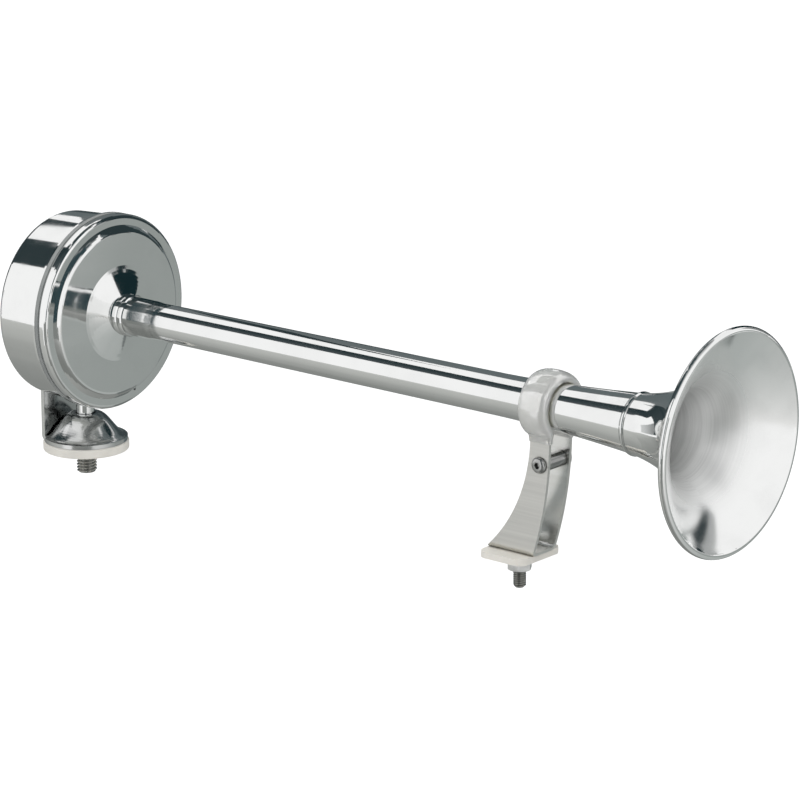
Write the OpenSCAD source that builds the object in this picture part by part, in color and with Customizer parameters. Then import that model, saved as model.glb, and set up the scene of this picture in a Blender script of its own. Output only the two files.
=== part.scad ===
// Electric trumpet horn for a boat: a round power unit, a long straight tube and a flared bell.
// The drum stands on a hollow threaded foot at the rear, and a sleeved strap clip carries the tube.
// The origin is on the rear stud's axis at the deck; +X runs along the horn to the bell and +Z is up.

/* [Layout] */
// Height of the horn's axis above the deck
axis_height = 71.5; // [66:0.5:84]
// Distance from the drum's back to the rear stud's axis
foot_set = 12.6; // [11.5:0.1:15]
// Distance from the clip's centre to the joint between tube and bell
clip_set = 47.5; // [40:0.5:120]

/* [Drum] */
// Thickness of the drum's pressed sheet
sheet = 1.2; // [0.8:0.1:1.6]
// Radius of the drum over its flange and its cover
flange_r = 47.3; // [43:0.1:53]
// How far the flange stands out from the housing's wall
flange_w = 1.3; // [1:0.1:2]
// How much narrower the housing is at its back
cup_taper = 1.2; // [0:0.1:2]
// Depth of the rear housing, from its back to its flange
cup_depth = 26.0; // [25:0.1:34]
// Corner radius of the housing's back edge
cup_corner = 3.0; // [2:0.1:6]
// Fillet between the housing's wall and its flange
lip_fillet = 0.8; // [0.4:0.1:1]
// Thickness of the seam gasket
gasket_t = 3.3; // [2.5:0.1:4]
// Width of the seam gasket's outer lip, behind its groove
gasket_lip = 2.0; // [1:0.1:2.2]
// Depth of the groove between the gasket's lip and the cover
gasket_groove = 0.5; // [0.2:0.1:0.8]
// How far the seam gasket stays inside the flange's edge
gasket_set = 0.15; // [0:0.05:0.5]
// Radial width of the gaskets and of the seat ring
seat_w = 5.6; // [4.5:0.1:9]
// Depth of the seat ring that carries the diaphragm's rim
seat_depth = 4.0; // [2:0.1:8]
// Thickness of the front gasket
front_gasket_t = 1.0; // [0.5:0.1:2]
// Thickness of the clamp ring under the front cover
clamp_t = 1.4; // [1:0.1:4]

/* [Front cover] */
// Corner radius between the cover's skirt and its flat border
cover_corner = 2.0; // [1.8:0.1:3]
// Width of the flat border with its corner
border_w = 5.1; // [4.5:0.1:7]
// Width of the slope from the border to the raised face
step_w = 3.6; // [2:0.1:5]
// Height of the raised face above the border
face_rise = 2.3; // [1:0.1:5]
// Crown of the raised face, from its edge to the middle
face_crown = 1.0; // [0.2:0.1:1.4]
// Radius of the cone's foot on the face
cone_r = 23.1; // [16:0.1:27]
// Height of the cone
cone_rise = 4.0; // [2:0.1:10]
// How hollow the cone's flank is (1 is straight)
cone_power = 1.3; // [1:0.05:2]
// Radius of the weep hole
weep_r = 0.75; // [0.5:0.05:1.5]
// Angle of the weep hole from straight down
weep_angle = 16.5; // [-40:0.5:40]

/* [Throat] */
// Outer radius of the throat sleeve
sleeve_r = 9.3; // [8.9:0.05:9.6]
// Length of the sleeve in front of the collar
sleeve_free = 17.5; // [10:0.5:30]
// Length of the sleeve behind the cover's neck
sleeve_tail = 1.5; // [0.5:0.1:2]
// Length of the rounded taper at the sleeve's end
sleeve_taper_l = 5.0; // [2:0.1:7]
// Depth of the rounded taper at the sleeve's end
sleeve_taper_d = 0.35; // [0.2:0.05:0.5]
// Outer radius of the collar over its beads
collar_r = 10.1; // [9.9:0.05:12]
// Outer radius of the collar between its beads
collar_root_r = 9.7; // [9.7:0.05:9.8]
// Length of the collar
collar_len = 6.6; // [4:0.1:10]
// Number of beads round the collar
collar_beads = 2; // [1:1:3]

/* [Tube] */
// Outer radius of the tube's necked end inside the sleeve
tube_neck_r = 8.2; // [7.4:0.05:8.4]
// Outer radius of the tube in front of the sleeve
tube_r0 = 8.93; // [8.6:0.01:9.2]
// Outer radius of the tube where its flare begins
tube_r1 = 9.53; // [9.3:0.01:9.8]
// Wall of the tube
tube_wall = 1.2; // [0.8:0.1:1.8]
// Length over which the tube's bore opens at its shoulder
shoulder_len = 1.2; // [0.5:0.1:3]
// Length of the tube from the sleeve to the flare
tube_straight = 203.5; // [120:0.5:300]
// Length of the tube's flare
flare_len = 77.0; // [70:0.5:120]
// Growth of the radius along the tube's flare
flare_rise = 3.95; // [3:0.05:5]
// Curve of the tube's flare (1 is a straight cone)
flare_power = 1.77; // [1.5:0.01:2.2]
// Half length of the bead ring over the joint
ring_half = 1.3; // [0.8:0.1:3]
// Height of the bead ring over the joint
ring_rise = 0.6; // [0.3:0.05:1.5]

/* [Bell] */
// Length of the bell
bell_len = 47.8; // [36:0.1:80]
// Radius of the bell over its rim
rim_r = 50.0; // [40:0.5:70]
// Radius of the rolled bead at the rim
bead_r = 1.8; // [1.4:0.1:2.6]
// Wall of the bell
bell_wall = 1.0; // [0.7:0.05:1.3]
// Opening of the flare near the joint
bell_gain = 2.5; // [1.5:0.1:4]

/* [Rear foot] */
// Sheet thickness of the rear bracket
bracket_t = 2.0; // [1.5:0.1:3]
// Radius of the bracket's round base
base_r = 20.3; // [19:0.1:22]
// Height of the dome above the pad
dome_rise = 13.5; // [10:0.1:15]
// Height of the base's rim above the pad
rim_rise = 2.1; // [2.1:0.1:3]
// Radius of the dome's flat top
dome_top_r = 6.5; // [6:0.1:8]
// Half width of the upright
upright_half_w = 15.6; // [14:0.1:15.8]
// Radius of the upright's round top
upright_top_r = 13.0; // [11:0.1:13.5]
// Radius of the bend between the base and the upright
bend_r = 3.0; // [2.5:0.1:3.5]
// Thickness of the rear pad
pad_t = 4.5; // [3:0.1:6]
// Radius of the rear pad
pad_r = 20.9; // [20:0.1:24]
// Edge rounding of the pads
pad_edge = 0.8; // [0.4:0.1:1.2]
// Radius of the hollow stud's thread
stud_r = 4.9; // [4.5:0.05:5.4]
// Radius of the hollow stud above its thread
shank_r = 4.4; // [4.2:0.05:4.8]
// How far the studs' free threads start below the piece above them
thread_set = 0.4; // [0.2:0.1:1]
// Radius of the hollow stud's bore
stud_bore_r = 3.2; // [2.2:0.1:3.4]
// Free length of the hollow stud below the deck
stud_free = 11.8; // [8:0.1:40]
// Length of the hollow stud inside the drum
stud_inside = 3.0; // [2.5:0.1:6]
// Chamfer at the studs' ends
stud_cham = 1.0; // [0.5:0.1:1.2]
// Thickness of the washer behind the upright
back_washer_t = 1.6; // [1:0.1:2.5]
// Radius of the washer behind the upright
back_washer_r = 8.0; // [7.6:0.1:10]
// Width across flats of the nut behind the upright
back_nut_af = 13.0; // [12:0.5:14]
// Height of the nut behind the upright
back_nut_h = 6.5; // [5:0.1:8]

/* [Front clip] */
// Thickness of the strap
strap_t = 1.5; // [1:0.1:2]
// Width of the strap round the tube
strap_w = 10.4; // [8:0.1:14]
// Width over the clip's two legs
leg_w = 16.5; // [14.5:0.1:20]
// Radius of the bends between the loop and the legs
waist_r = 4.0; // [3.6:0.1:6]
// Outer radius of the bends at the clip's foot
foot_bend_r = 3.0; // [2.2:0.1:4]
// Depth of the clip's foot along the horn
foot_len = 26.3; // [20:0.1:34]
// How far the foot's centre lies behind the loop's centre
foot_back = 17.0; // [6:0.1:22]
// Wall of the soft sleeve on the strap
soft_t = 1.4; // [1:0.05:2]
// How far the soft sleeve reaches past the strap's edges
soft_side = 2.0; // [1.2:0.1:3]
// Length of the soft sleeve on the legs
soft_leg = 4.0; // [2:0.1:5]
// Height of the clamp screw below the horn's axis
screw_drop = 25.3; // [24.5:0.1:32]
// Radius of the spacer between the legs
spacer_r = 3.6; // [3:0.1:4.4]
// Radius of the clamp screw
screw_r = 2.0; // [1.5:0.1:2.4]
// Radius of the clamp screw's head
screw_head_r = 3.8; // [3.4:0.1:4.2]
// Height of the clamp screw's head
screw_head_h = 2.2; // [1.8:0.1:3]
// Width across flats of the screw's socket
socket_af = 2.5; // [2:0.1:3]
// Depth of the screw's socket
socket_d = 1.3; // [1:0.1:1.6]
// Width across flats of the clamp nut
clamp_nut_af = 7.0; // [6.5:0.1:8]
// Height of the clamp nut
clamp_nut_h = 2.2; // [1.8:0.1:4]
// Length of the clamp screw beyond its nut
screw_out = 0.8; // [0.3:0.1:3]

/* [Front foot] */
// Thickness of the front pad
front_pad_t = 3.0; // [2:0.1:5]
// Length of the front pad along the horn
front_pad_l = 25.0; // [22:0.1:34]
// Width of the front pad across the horn
front_pad_w = 29.5; // [24:0.1:40]
// Corner radius of the front pad
front_pad_corner = 4.5; // [2:0.1:8]
// Radius of the front bolt's free thread
bolt_r = 2.95; // [2.4:0.05:3.2]
// Radius of the front bolt above its free thread, less than the thread's by this much
bolt_relief = 0.2; // [0.15:0.05:0.4]
// Width across flats of the front bolt's head and nut
bolt_af = 10.0; // [9:0.1:11]
// Height of the front bolt's head
bolt_head_h = 4.0; // [3:0.1:6]
// Free length of the front bolt below the deck
bolt_free = 15.0; // [12:0.1:50]
// Thickness of the front washer
washer_t = 1.6; // [1:0.1:2.4]
// Radius of the front washer
washer_r = 6.0; // [5.8:0.1:9]
// Height of the front nut
nut_h = 5.2; // [4:0.1:6.5]

/* [Power unit] */
// Thickness of the diaphragm
diaphragm_t = 0.4; // [0.2:0.05:0.6]
// Room between the magnet's pot and the housing
pot_set = 20.8; // [20:0.1:22]
// Wall of the magnet's pot
pot_wall = 2.5; // [1.5:0.1:3]
// Thickness of the magnet's base
pot_base = 3.0; // [2:0.1:4]
// Length of the centre pole
pole_len = 15.3; // [14.5:0.1:16]
// Radius of the centre pole
pole_r = 8.0; // [6:0.1:9]
// Height of the pot's wall
pot_len = 11.5; // [8:0.1:12]
// Radius of the threaded core stud through the drum's back
core_stud_r = 3.95; // [3:0.05:4.5]
// Free thread behind the back nut
core_stud_free = 2.0; // [1:0.1:6]
// Room between the bobbin's flanges and the pot's wall
bobbin_gap = 0.9; // [0.3:0.1:2]
// Length of the bobbin
bobbin_len = 12.6; // [8:0.1:12.8]
// Wall of the bobbin
bobbin_wall = 1.1; // [0.8:0.1:1.6]
// Depth of the winding below the bobbin's flanges
winding_set = 1.0; // [0.2:0.1:3]
// Air gap between the pole and the armature
air_gap = 1.2; // [0.9:0.05:1.6]
// How far the armature's edge lies inside the pot's edge
armature_set = 6.0; // [5:0.1:7]
// Thickness of the armature
armature_t = 4.0; // [3:0.1:5]
// Radius of the armature's boss
armature_boss_r = 6.0; // [5:0.1:8]
// Radius of the armature's stem
stem_r = 2.95; // [2.4:0.05:3.2]
// Radius of the washer on the diaphragm
stem_washer_r = 8.0; // [6.5:0.1:14]
// Thickness of the washer on the diaphragm
stem_washer_t = 0.8; // [0.5:0.1:1.2]
// Height of the nut on the diaphragm
stem_nut_h = 2.6; // [2:0.1:2.8]
// How far the contact arm's pin lies inside the housing's flat back
pin_in = 8.8; // [8:0.1:9.5]
// How far the arm's pusher lies inside the armature's edge
pusher_in = 3.0; // [2:0.1:4]
// Distance from the arm's pin to the contact points
point_in = 7.5; // [6.5:0.1:8]
// Thickness of the contact arm
arm_t = 1.0; // [0.6:0.1:1.2]
// Width of the contact arm
arm_w = 7.0; // [5:0.1:8]
// Radius of the arm's eye
eye_r = 2.4; // [2:0.1:2.6]
// Radius of the arm's pin
pin_r = 1.0; // [0.8:0.05:1.2]
// Radius of the contact points and of the adjusting screw
point_r = 1.5; // [1:0.1:1.8]
// Height of the moving contact point
point_h = 0.6; // [0.4:0.1:0.8]
// Thickness of the contact base's ears
ear_t = 2.5; // [2:0.1:4]
// Thickness of the fixed contact's strip
strip_t = 1.2; // [0.8:0.1:1.6]
// Height of the fixed strip above the contact arm
strip_rise = 3.0; // [2.5:0.1:3.5]

/* [Fits] */
// Clearance of fitted pieces
fit = 0.05; // [0.02:0.01:0.1]
// Gap between the soft sleeve and the tube
tube_gap = 0.3; // [0.25:0.05:0.5]
// Gap between the contact points at rest
point_gap = 0.1; // [0.05:0.01:0.2]

/* [Hidden] */
$fn = 96;
// Steps along a curved profile
curve_n = 18;
bead_n = 8;
// Overshoot of a cutting tool
cut = 1.0;
hex_n = 6;
// Overlap of the arcs that run into each other in the clip
lap_a = 0.5;

// Stations along the horn, measured from the drum's back
gasket_x = cup_depth + sheet;
diaphragm_x = gasket_x + gasket_t;
front_gasket_x = diaphragm_x + diaphragm_t;
clamp_x = front_gasket_x + front_gasket_t;
border_x = clamp_x + clamp_t + sheet;
face_x = border_x + face_rise;
neck_x = face_x + cone_rise;
collar_end = neck_x + collar_len;
sleeve_end = collar_end + sleeve_free;
flare_x = sleeve_end + tube_straight;
joint_x = flare_x + flare_len;
clip_x = joint_x - clip_set;
foot_x = clip_x - foot_back;

// Radii shared by neighbours
cup_front_r = flange_r - flange_w;
cup_back_r = cup_front_r - cup_taper;
step_r = flange_r - border_w;
face_r = step_r - step_w;
sleeve_bore_r = tube_neck_r + fit;
disc_r = flange_r - sheet - 2*fit;
clamp_r = flange_r - cover_corner - fit;
seat_in_r = cup_front_r - sheet - seat_w;
joint_r = tube_r1 + flare_rise;
lip_r = rim_r - bead_r;
bell_rate = ln(1 + (lip_r - joint_r)/bell_gain)/bell_len;

// Stations of the power unit, and distances from the horn's axis
pot_r = cup_back_r - pot_set;
bobbin_r = pot_r - pot_wall - bobbin_gap;
armature_r = pot_r - armature_set;
pin_set = cup_back_r - cup_corner - pin_in;
pusher_set = armature_r - pusher_in;
point_set = pin_set - point_in;
pot_x = sheet + pot_base;
pole_x = pot_x + pole_len;
armature_x = pole_x + air_gap;
// The contact arm lies behind the armature's edge
arm_x = armature_x - strip_rise/2;

// Stations of the clip, measured from the horn's axis
tube_at_clip = tube_out(clip_x + strap_w/2 + soft_side);
loop_in_r = tube_at_clip + tube_gap + soft_t + fit;
loop_r = loop_in_r + strap_t/2;
leg_y = (leg_w - strap_t)/2;
waist_y = leg_y + waist_r;
waist_z = sqrt(pow(loop_r + waist_r, 2) - pow(waist_y, 2));
waist_a = atan2(waist_y, waist_z);
strap_z = front_pad_t;
soft_end = waist_z + soft_leg;

// Outer radius of the housing's wall at a station
function cup_out(x) = cup_back_r + (cup_front_r - cup_back_r)*(x - cup_corner)/(cup_depth - lip_fillet - cup_corner);
// Station of the cover's crowned face at a radius
function crown_x(r) = face_x + face_crown*(1 - pow(r/face_r, 2));

// Outer radius of the tube at a station in front of its shoulder
function tube_out(x) = x < flare_x
    ? tube_r0 + (tube_r1 - tube_r0)*(x - sleeve_end)/tube_straight
    : tube_r1 + flare_rise*pow((x - flare_x)/flare_len, flare_power);
// Outer radius of the bell at a distance from the joint, and its slope
function bell_out(s) = joint_r + bell_gain*(exp(bell_rate*s) - 1);
function bell_slope(s) = bell_gain*bell_rate*exp(bell_rate*s);
// The bell's inner wall, one wall thickness square to the outer one
function bell_in(s) = [bell_out(s) - bell_wall/sqrt(1 + pow(bell_slope(s), 2)),
                       joint_x + s + bell_wall*bell_slope(s)/sqrt(1 + pow(bell_slope(s), 2))];
// Points of an arc, with its ends
function arc(c, r, a0, a1, n) = [for (i = [0:n]) c + r*[cos(a0 + (a1 - a0)*i/n), sin(a0 + (a1 - a0)*i/n)]];
// Height of the bracket's pressed dome at a radius, an ogee between the top and the rim
function dome(r) = pad_t + rim_rise
    + (dome_rise - rim_rise)*(1 + cos(180*(r - dome_top_r)/(base_r - dome_top_r)))/2;
function hex_r(af) = af/sqrt(3);

// Places children so that their Z runs along the horn from the drum's back
module on_axis() {
    translate([-foot_set, 0, axis_height]) rotate([0, 90, 0]) children();
}
// Revolves a profile of [radius, station] points about the horn's axis
module revolve(points) {
    on_axis() rotate_extrude() polygon(points);
}
// A ring about the horn's axis
module ring(r_in, r_out, x0, x1) {
    revolve([[r_in, x0], [r_out, x0], [r_out, x1], [r_in, x1]]);
}
// A bar across the clip, along Y
module cross_bar(r, y0, y1, sides = $fn, turn = 0) {
    translate([clip_x - foot_set, y0, axis_height - screw_drop]) rotate([-90, 0, 0])
        rotate([0, 0, turn]) cylinder(r = r, h = y1 - y0, $fn = sides);
}
// A box given by two corners, with stations along the horn for X and heights above its axis for Z
module axis_box(lo, hi) {
    translate([lo[0] - foot_set, lo[1], lo[2] + axis_height]) cube(hi - lo);
}

// Deep-drawn cup with a rolled flange, open to the front
module rear_housing() {
    corner_c = [cup_back_r - cup_corner, cup_corner];
    lip_c = [cup_front_r + lip_fillet, cup_depth - lip_fillet];
    hole_r = core_stud_r + fit;
    color([0.78, 0.79, 0.80]) difference() {
        revolve(concat(
            [[hole_r, 0]],
            arc(corner_c, cup_corner, -90, 0, bead_n),
            arc(lip_c, lip_fillet, 180, 90, bead_n),
            [[flange_r, cup_depth], [flange_r, gasket_x]],
            arc(lip_c, lip_fillet + sheet, 90, 180, bead_n),
            arc(corner_c, cup_corner - sheet, 0, -90, bead_n),
            [[hole_r, sheet]]));
        cylinder(r = shank_r + fit, h = axis_height);
    }
}

// Rubber band between housing and cover, with a groove beside the cover
module seam_gasket() {
    lip_x = gasket_x + gasket_lip;
    lip_out = flange_r - gasket_set;
    color([0.30, 0.32, 0.33]) revolve([
        [seat_in_r, gasket_x], [lip_out, gasket_x], [lip_out, lip_x], [lip_out - gasket_groove, lip_x],
        [lip_out - gasket_groove, diaphragm_x], [seat_in_r, diaphragm_x]]);
}

// Pressed cover: skirt, flat border, raised face and a hollow-flanked cone up to the neck
module front_cover() {
    corner_c = [flange_r - cover_corner, border_x - cover_corner];
    neck_r = sleeve_r + fit;
    top_r = collar_root_r;
    step = [for (i = [0:bead_n]) let (t = i/bead_n)
        [step_r + (face_r - step_r)*t, border_x + face_rise*sin(90*t)]];
    face = [for (i = [1:bead_n]) let (r = face_r + (cone_r - face_r)*i/bead_n) [r, crown_x(r)]];
    cone = [for (i = [1:bead_n]) let (t = i/bead_n)
        [cone_r + (top_r - cone_r)*t, crown_x(cone_r) + (neck_x - crown_x(cone_r))*pow(t, cone_power)]];
    outside = concat(step, face, cone);
    under = [for (p = outside) p - [0, sheet]];
    count = len(under);
    color([0.80, 0.81, 0.82]) difference() {
        revolve(concat(
            [[flange_r, diaphragm_x]],
            arc(corner_c, cover_corner, 0, 90, bead_n),
            outside,
            [[neck_r, neck_x], [neck_r, neck_x - sheet]],
            [for (i = [0:count - 1]) under[count - 1 - i]],
            arc(corner_c, cover_corner - sheet, 90, 0, bead_n),
            [[flange_r - sheet, diaphragm_x]]));
        on_axis() translate([step_r*cos(weep_angle), step_r*sin(weep_angle), diaphragm_x])
            cylinder(r = weep_r, h = face_x - diaphragm_x);
    }
}

// Beaded collar over the sleeve, seated on the cone's top
module throat_collar() {
    bead_l = collar_len/collar_beads;
    color([0.82, 0.83, 0.84]) revolve(concat(
        [[sleeve_r + fit, neck_x]],
        [for (b = [0:collar_beads - 1]) for (i = [0:bead_n])
            [collar_root_r + (collar_r - collar_root_r)*sin(180*i/bead_n), neck_x + bead_l*(b + i/bead_n)]],
        [[sleeve_r + fit, collar_end]]));
}

module throat_sleeve() {
    tail_x = neck_x - sheet - sleeve_tail;
    taper = [for (i = [0:bead_n]) let (t = i/bead_n)
        [sleeve_r - sleeve_taper_d*(1 - cos(180*t))/2, sleeve_end - sleeve_taper_l*(1 - t)]];
    color([0.80, 0.81, 0.82]) revolve(concat(
        [[sleeve_bore_r, tail_x], [sleeve_r, tail_x]],
        taper,
        [[sleeve_bore_r, sleeve_end]]));
}

// Necked at the sleeve, slightly tapered, then flaring to the bell
module horn_tube() {
    shoulder_x = sleeve_end + fit;
    shoulder_end = sleeve_end + shoulder_len;
    flare = [for (i = [0:curve_n]) let (x = flare_x + flare_len*i/curve_n) [tube_out(x), x]];
    bore = [for (i = [0:curve_n]) flare[curve_n - i] - [tube_wall, 0]];
    color([0.80, 0.81, 0.82]) revolve(concat(
        [[tube_neck_r, collar_end], [tube_neck_r, shoulder_x], [tube_out(shoulder_x), shoulder_x]],
        flare,
        bore,
        [[tube_out(shoulder_end) - tube_wall, shoulder_end],
         [tube_neck_r - tube_wall, sleeve_end], [tube_neck_r - tube_wall, collar_end]]));
}

// Bead ring over the brazed joint between tube and bell
module joint_ring() {
    x0 = joint_x - ring_half;
    inner = concat(
        [for (i = [0:bead_n]) let (x = x0 + ring_half*i/bead_n) [tube_out(x) + fit, x]],
        [for (i = [1:bead_n]) let (s = ring_half*i/bead_n) [bell_out(s) + fit, joint_x + s]]);
    count = len(inner);
    outer = [for (i = [0:count - 1]) let (p = inner[count - 1 - i])
        p + [fit + ring_rise*sin(180*i/(count - 1)), 0]];
    color([0.82, 0.83, 0.84]) revolve(concat(inner, outer));
}

// Exponential flare with a rolled bead at the rim
module bell() {
    lip_x = joint_x + bell_len;
    lip_dx = bell_wall*bell_slope(bell_len)/sqrt(1 + pow(bell_slope(bell_len), 2));
    // The bead's front lies level with the lip's front
    bead_x = lip_x + lip_dx - bead_r + fit;
    outer = [for (i = [0:curve_n]) let (s = bell_len*i/curve_n) [bell_out(s), joint_x + s]];
    inner = [for (i = [1:curve_n]) bell_in(bell_len*(curve_n + 1 - i)/curve_n)];
    color([0.82, 0.83, 0.84]) union() {
        revolve(concat(outer, inner, [[joint_r - bell_wall, joint_x]]));
        on_axis() rotate_extrude() translate([lip_r, bead_x]) circle(r = bead_r);
    }
}

// One pressing: a round base with a dome for the stud, bent up behind the drum
module rear_bracket() {
    back_x = -foot_set - bracket_t;
    ogee = [for (i = [0:curve_n]) let (r = dome_top_r + (base_r - dome_top_r)*i/curve_n) [r, dome(r)]];
    under = [for (i = [0:curve_n]) ogee[curve_n - i] - [0, bracket_t]];
    hole_r = stud_r + fit;
    top_z = pad_t + dome_rise;
    low_z = pad_t + rim_rise - bracket_t;
    color([0.70, 0.71, 0.72]) difference() {
        union() {
            difference() {
                rotate_extrude() polygon(concat([[hole_r, top_z]], ogee, under, [[hole_r, top_z - bracket_t]]));
                translate([back_x - base_r, -base_r - cut, low_z - cut])
                    cube([base_r + bend_r, 2*(base_r + cut), dome_rise + bracket_t + cut]);
            }
            intersection() {
                union() {
                    translate([back_x, -upright_half_w, low_z + bend_r])
                        cube([bracket_t, 2*upright_half_w, axis_height - low_z - bend_r]);
                    translate([back_x, 0, axis_height]) rotate([0, 90, 0]) cylinder(r = upright_top_r, h = bracket_t);
                    foot_bend(back_x, low_z);
                }
                upright_outline(back_x, low_z);
            }
        }
        translate([back_x - cut, 0, axis_height]) rotate([0, 90, 0]) cylinder(r = core_stud_r + fit, h = bracket_t + 2*cut);
        translate([0, 0, low_z]) cylinder(r = hole_r, h = dome_rise + bracket_t);
    }
}
// The quarter bend at the upright's foot, with the strip of base behind the dome
module foot_bend(back_x, low_z) {
    translate([back_x + bend_r, 0, low_z + bend_r]) rotate([90, 0, 0]) difference() {
        cylinder(r = bend_r, h = 2*upright_half_w, center = true);
        cylinder(r = bend_r - bracket_t, h = 2*upright_half_w + cut, center = true);
        translate([0, -bend_r, -upright_half_w - cut]) cube([bend_r, 2*bend_r, 2*(upright_half_w + cut)]);
        translate([-bend_r, 0, -upright_half_w - cut]) cube([2*bend_r, bend_r, 2*(upright_half_w + cut)]);
    }
    // The pressed dome runs into the upright's foot
    difference() {
        translate([back_x + bend_r, -upright_half_w, low_z]) cube([bracket_t, 2*upright_half_w, bracket_t]);
        rotate_extrude() polygon([[0, low_z - cut], [base_r + cut, low_z - cut], [base_r + cut, dome(base_r) - bracket_t],
            [0, dome(base_r) - bracket_t]]);
    }
}
// The upright narrows from the base's width to its round top
module upright_outline(back_x, low_z) {
    translate([back_x - cut, 0, 0]) rotate([90, 0, 90]) linear_extrude(bracket_t + bend_r + 2*cut) union() {
        polygon([[-upright_half_w, low_z], [upright_half_w, low_z],
                 [upright_half_w, axis_height/2], [upright_top_r, axis_height],
                 [-upright_top_r, axis_height], [-upright_half_w, axis_height/2]]);
        translate([0, axis_height]) circle(r = upright_top_r);
    }
}

// Hollow threaded stud: carries the drum and leads the wires out through the deck
module conduit_stud() {
    top_z = axis_height - cup_out(foot_set) + stud_inside;
    color([0.62, 0.63, 0.62]) rotate_extrude() polygon([
        [stud_bore_r, -stud_free], [stud_r - stud_cham, -stud_free], [stud_r, stud_cham - stud_free],
        [stud_r, -thread_set], [shank_r, -thread_set], [shank_r, top_z], [stud_bore_r, top_z]]);
}

module rear_pad() {
    color([0.90, 0.88, 0.82]) rotate_extrude() polygon(concat(
        [[stud_r + fit, 0]],
        arc([pad_r - pad_edge, pad_edge], pad_edge, -90, 0, bead_n),
        arc([pad_r - pad_edge, pad_t - pad_edge], pad_edge, 0, 90, bead_n),
        [[stud_r + fit, pad_t]]));
}

module back_washer() {
    color([0.75, 0.76, 0.77]) ring(core_stud_r + fit, back_washer_r, -bracket_t - back_washer_t, -bracket_t);
}

module back_nut() {
    color([0.72, 0.73, 0.74]) on_axis() translate([0, 0, -bracket_t - back_washer_t - back_nut_h]) difference() {
        cylinder(r = hex_r(back_nut_af), h = back_nut_h, $fn = hex_n);
        translate([0, 0, -cut]) cylinder(r = core_stud_r + fit, h = back_nut_h + 2*cut);
    }
}

// Section of the strap across the horn, about its axis: loop, waist bends, legs and foot.
// grow widens the strap on both faces.
module omega(grow) {
    half = strap_t/2 + grow;
    foot_z = strap_z - axis_height;
    bend_y = leg_w/2 - foot_bend_r;
    bend_z = foot_z + foot_bend_r;
    far = 2*(loop_r + waist_r);
    difference() {
        circle(r = loop_r + half);
        circle(r = loop_r - half);
        polygon([[0, 0], [far*tan(waist_a - lap_a), -far], [-far*tan(waist_a - lap_a), -far]]);
    }
    for (side = [-1, 1]) mirror([side < 0 ? 1 : 0, 0]) {
        intersection() {
            translate([waist_y, -waist_z]) difference() {
                circle(r = waist_r + half);
                circle(r = waist_r - half);
            }
            polygon([[waist_y, -waist_z], [leg_y - strap_t - grow, -waist_z], [0, 0]]);
        }
        translate([leg_y - half, bend_z - fit]) square([2*half, 2*fit - waist_z - bend_z]);
        intersection() {
            translate([bend_y, bend_z]) difference() {
                circle(r = foot_bend_r + grow);
                circle(r = foot_bend_r - strap_t - grow);
            }
            translate([bend_y, bend_z - foot_bend_r - cut]) square([foot_bend_r + cut, foot_bend_r + cut]);
        }
    }
    translate([-bend_y - fit, foot_z - grow]) square([2*(bend_y + fit), strap_t + 2*grow]);
}
// Side view of the strap: straight at the loop, then swept back and widened to the foot
module strap_side() {
    front_x = clip_x + strap_w/2;
    rear_x = clip_x - strap_w/2;
    drop = axis_height - waist_z - strap_z;
    front_dx = front_x - (foot_x + foot_len/2);
    rear_dx = rear_x - (foot_x - foot_len/2);
    front_arc = (pow(drop, 2) + pow(front_dx, 2))/(2*front_dx);
    rear_arc = (pow(drop, 2) + pow(rear_dx, 2))/(2*rear_dx);
    turn_z = axis_height - waist_z;
    translate([rear_x, turn_z]) square([strap_w, waist_z + loop_r + strap_t]);
    difference() {
        intersection() {
            translate([front_x - front_arc, turn_z]) circle(r = front_arc, $fn = 360);
            translate([foot_x - foot_len, strap_z]) square([2*foot_len + foot_back, drop]);
        }
        translate([rear_x - rear_arc, turn_z]) circle(r = rear_arc, $fn = 360);
    }
}

// One strip of sheet: round the tube, drawn in at the waist, down both legs and across the foot
module front_strap() {
    color([0.74, 0.75, 0.76]) difference() {
        intersection() {
            translate([foot_x - foot_set - foot_len, 0, axis_height]) rotate([90, 0, 90])
                linear_extrude(2*foot_len + foot_back) omega(0);
            translate([-foot_set, 0, 0]) rotate([90, 0, 0]) linear_extrude(3*loop_r, center = true) strap_side();
        }
        cross_bar(screw_r + fit, -leg_w, leg_w);
        translate([foot_x - foot_set, 0, 0]) cylinder(r = bolt_r + fit, h = strap_z + 2*strap_t);
    }
}

// Rounded section of the soft sleeve, measured from the strap's middle
module soft_section() {
    half_t = strap_t/2 + soft_t + fit;
    half_w = strap_w/2 + soft_side;
    edge = half_t - fit;
    polygon(concat(
        arc([half_t - edge, half_w - edge], edge, 0, 90, bead_n),
        arc([edge - half_t, half_w - edge], edge, 90, 180, bead_n),
        arc([edge - half_t, edge - half_w], edge, 180, 270, bead_n),
        arc([half_t - edge, edge - half_w], edge, 270, 360, bead_n)));
}

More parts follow.
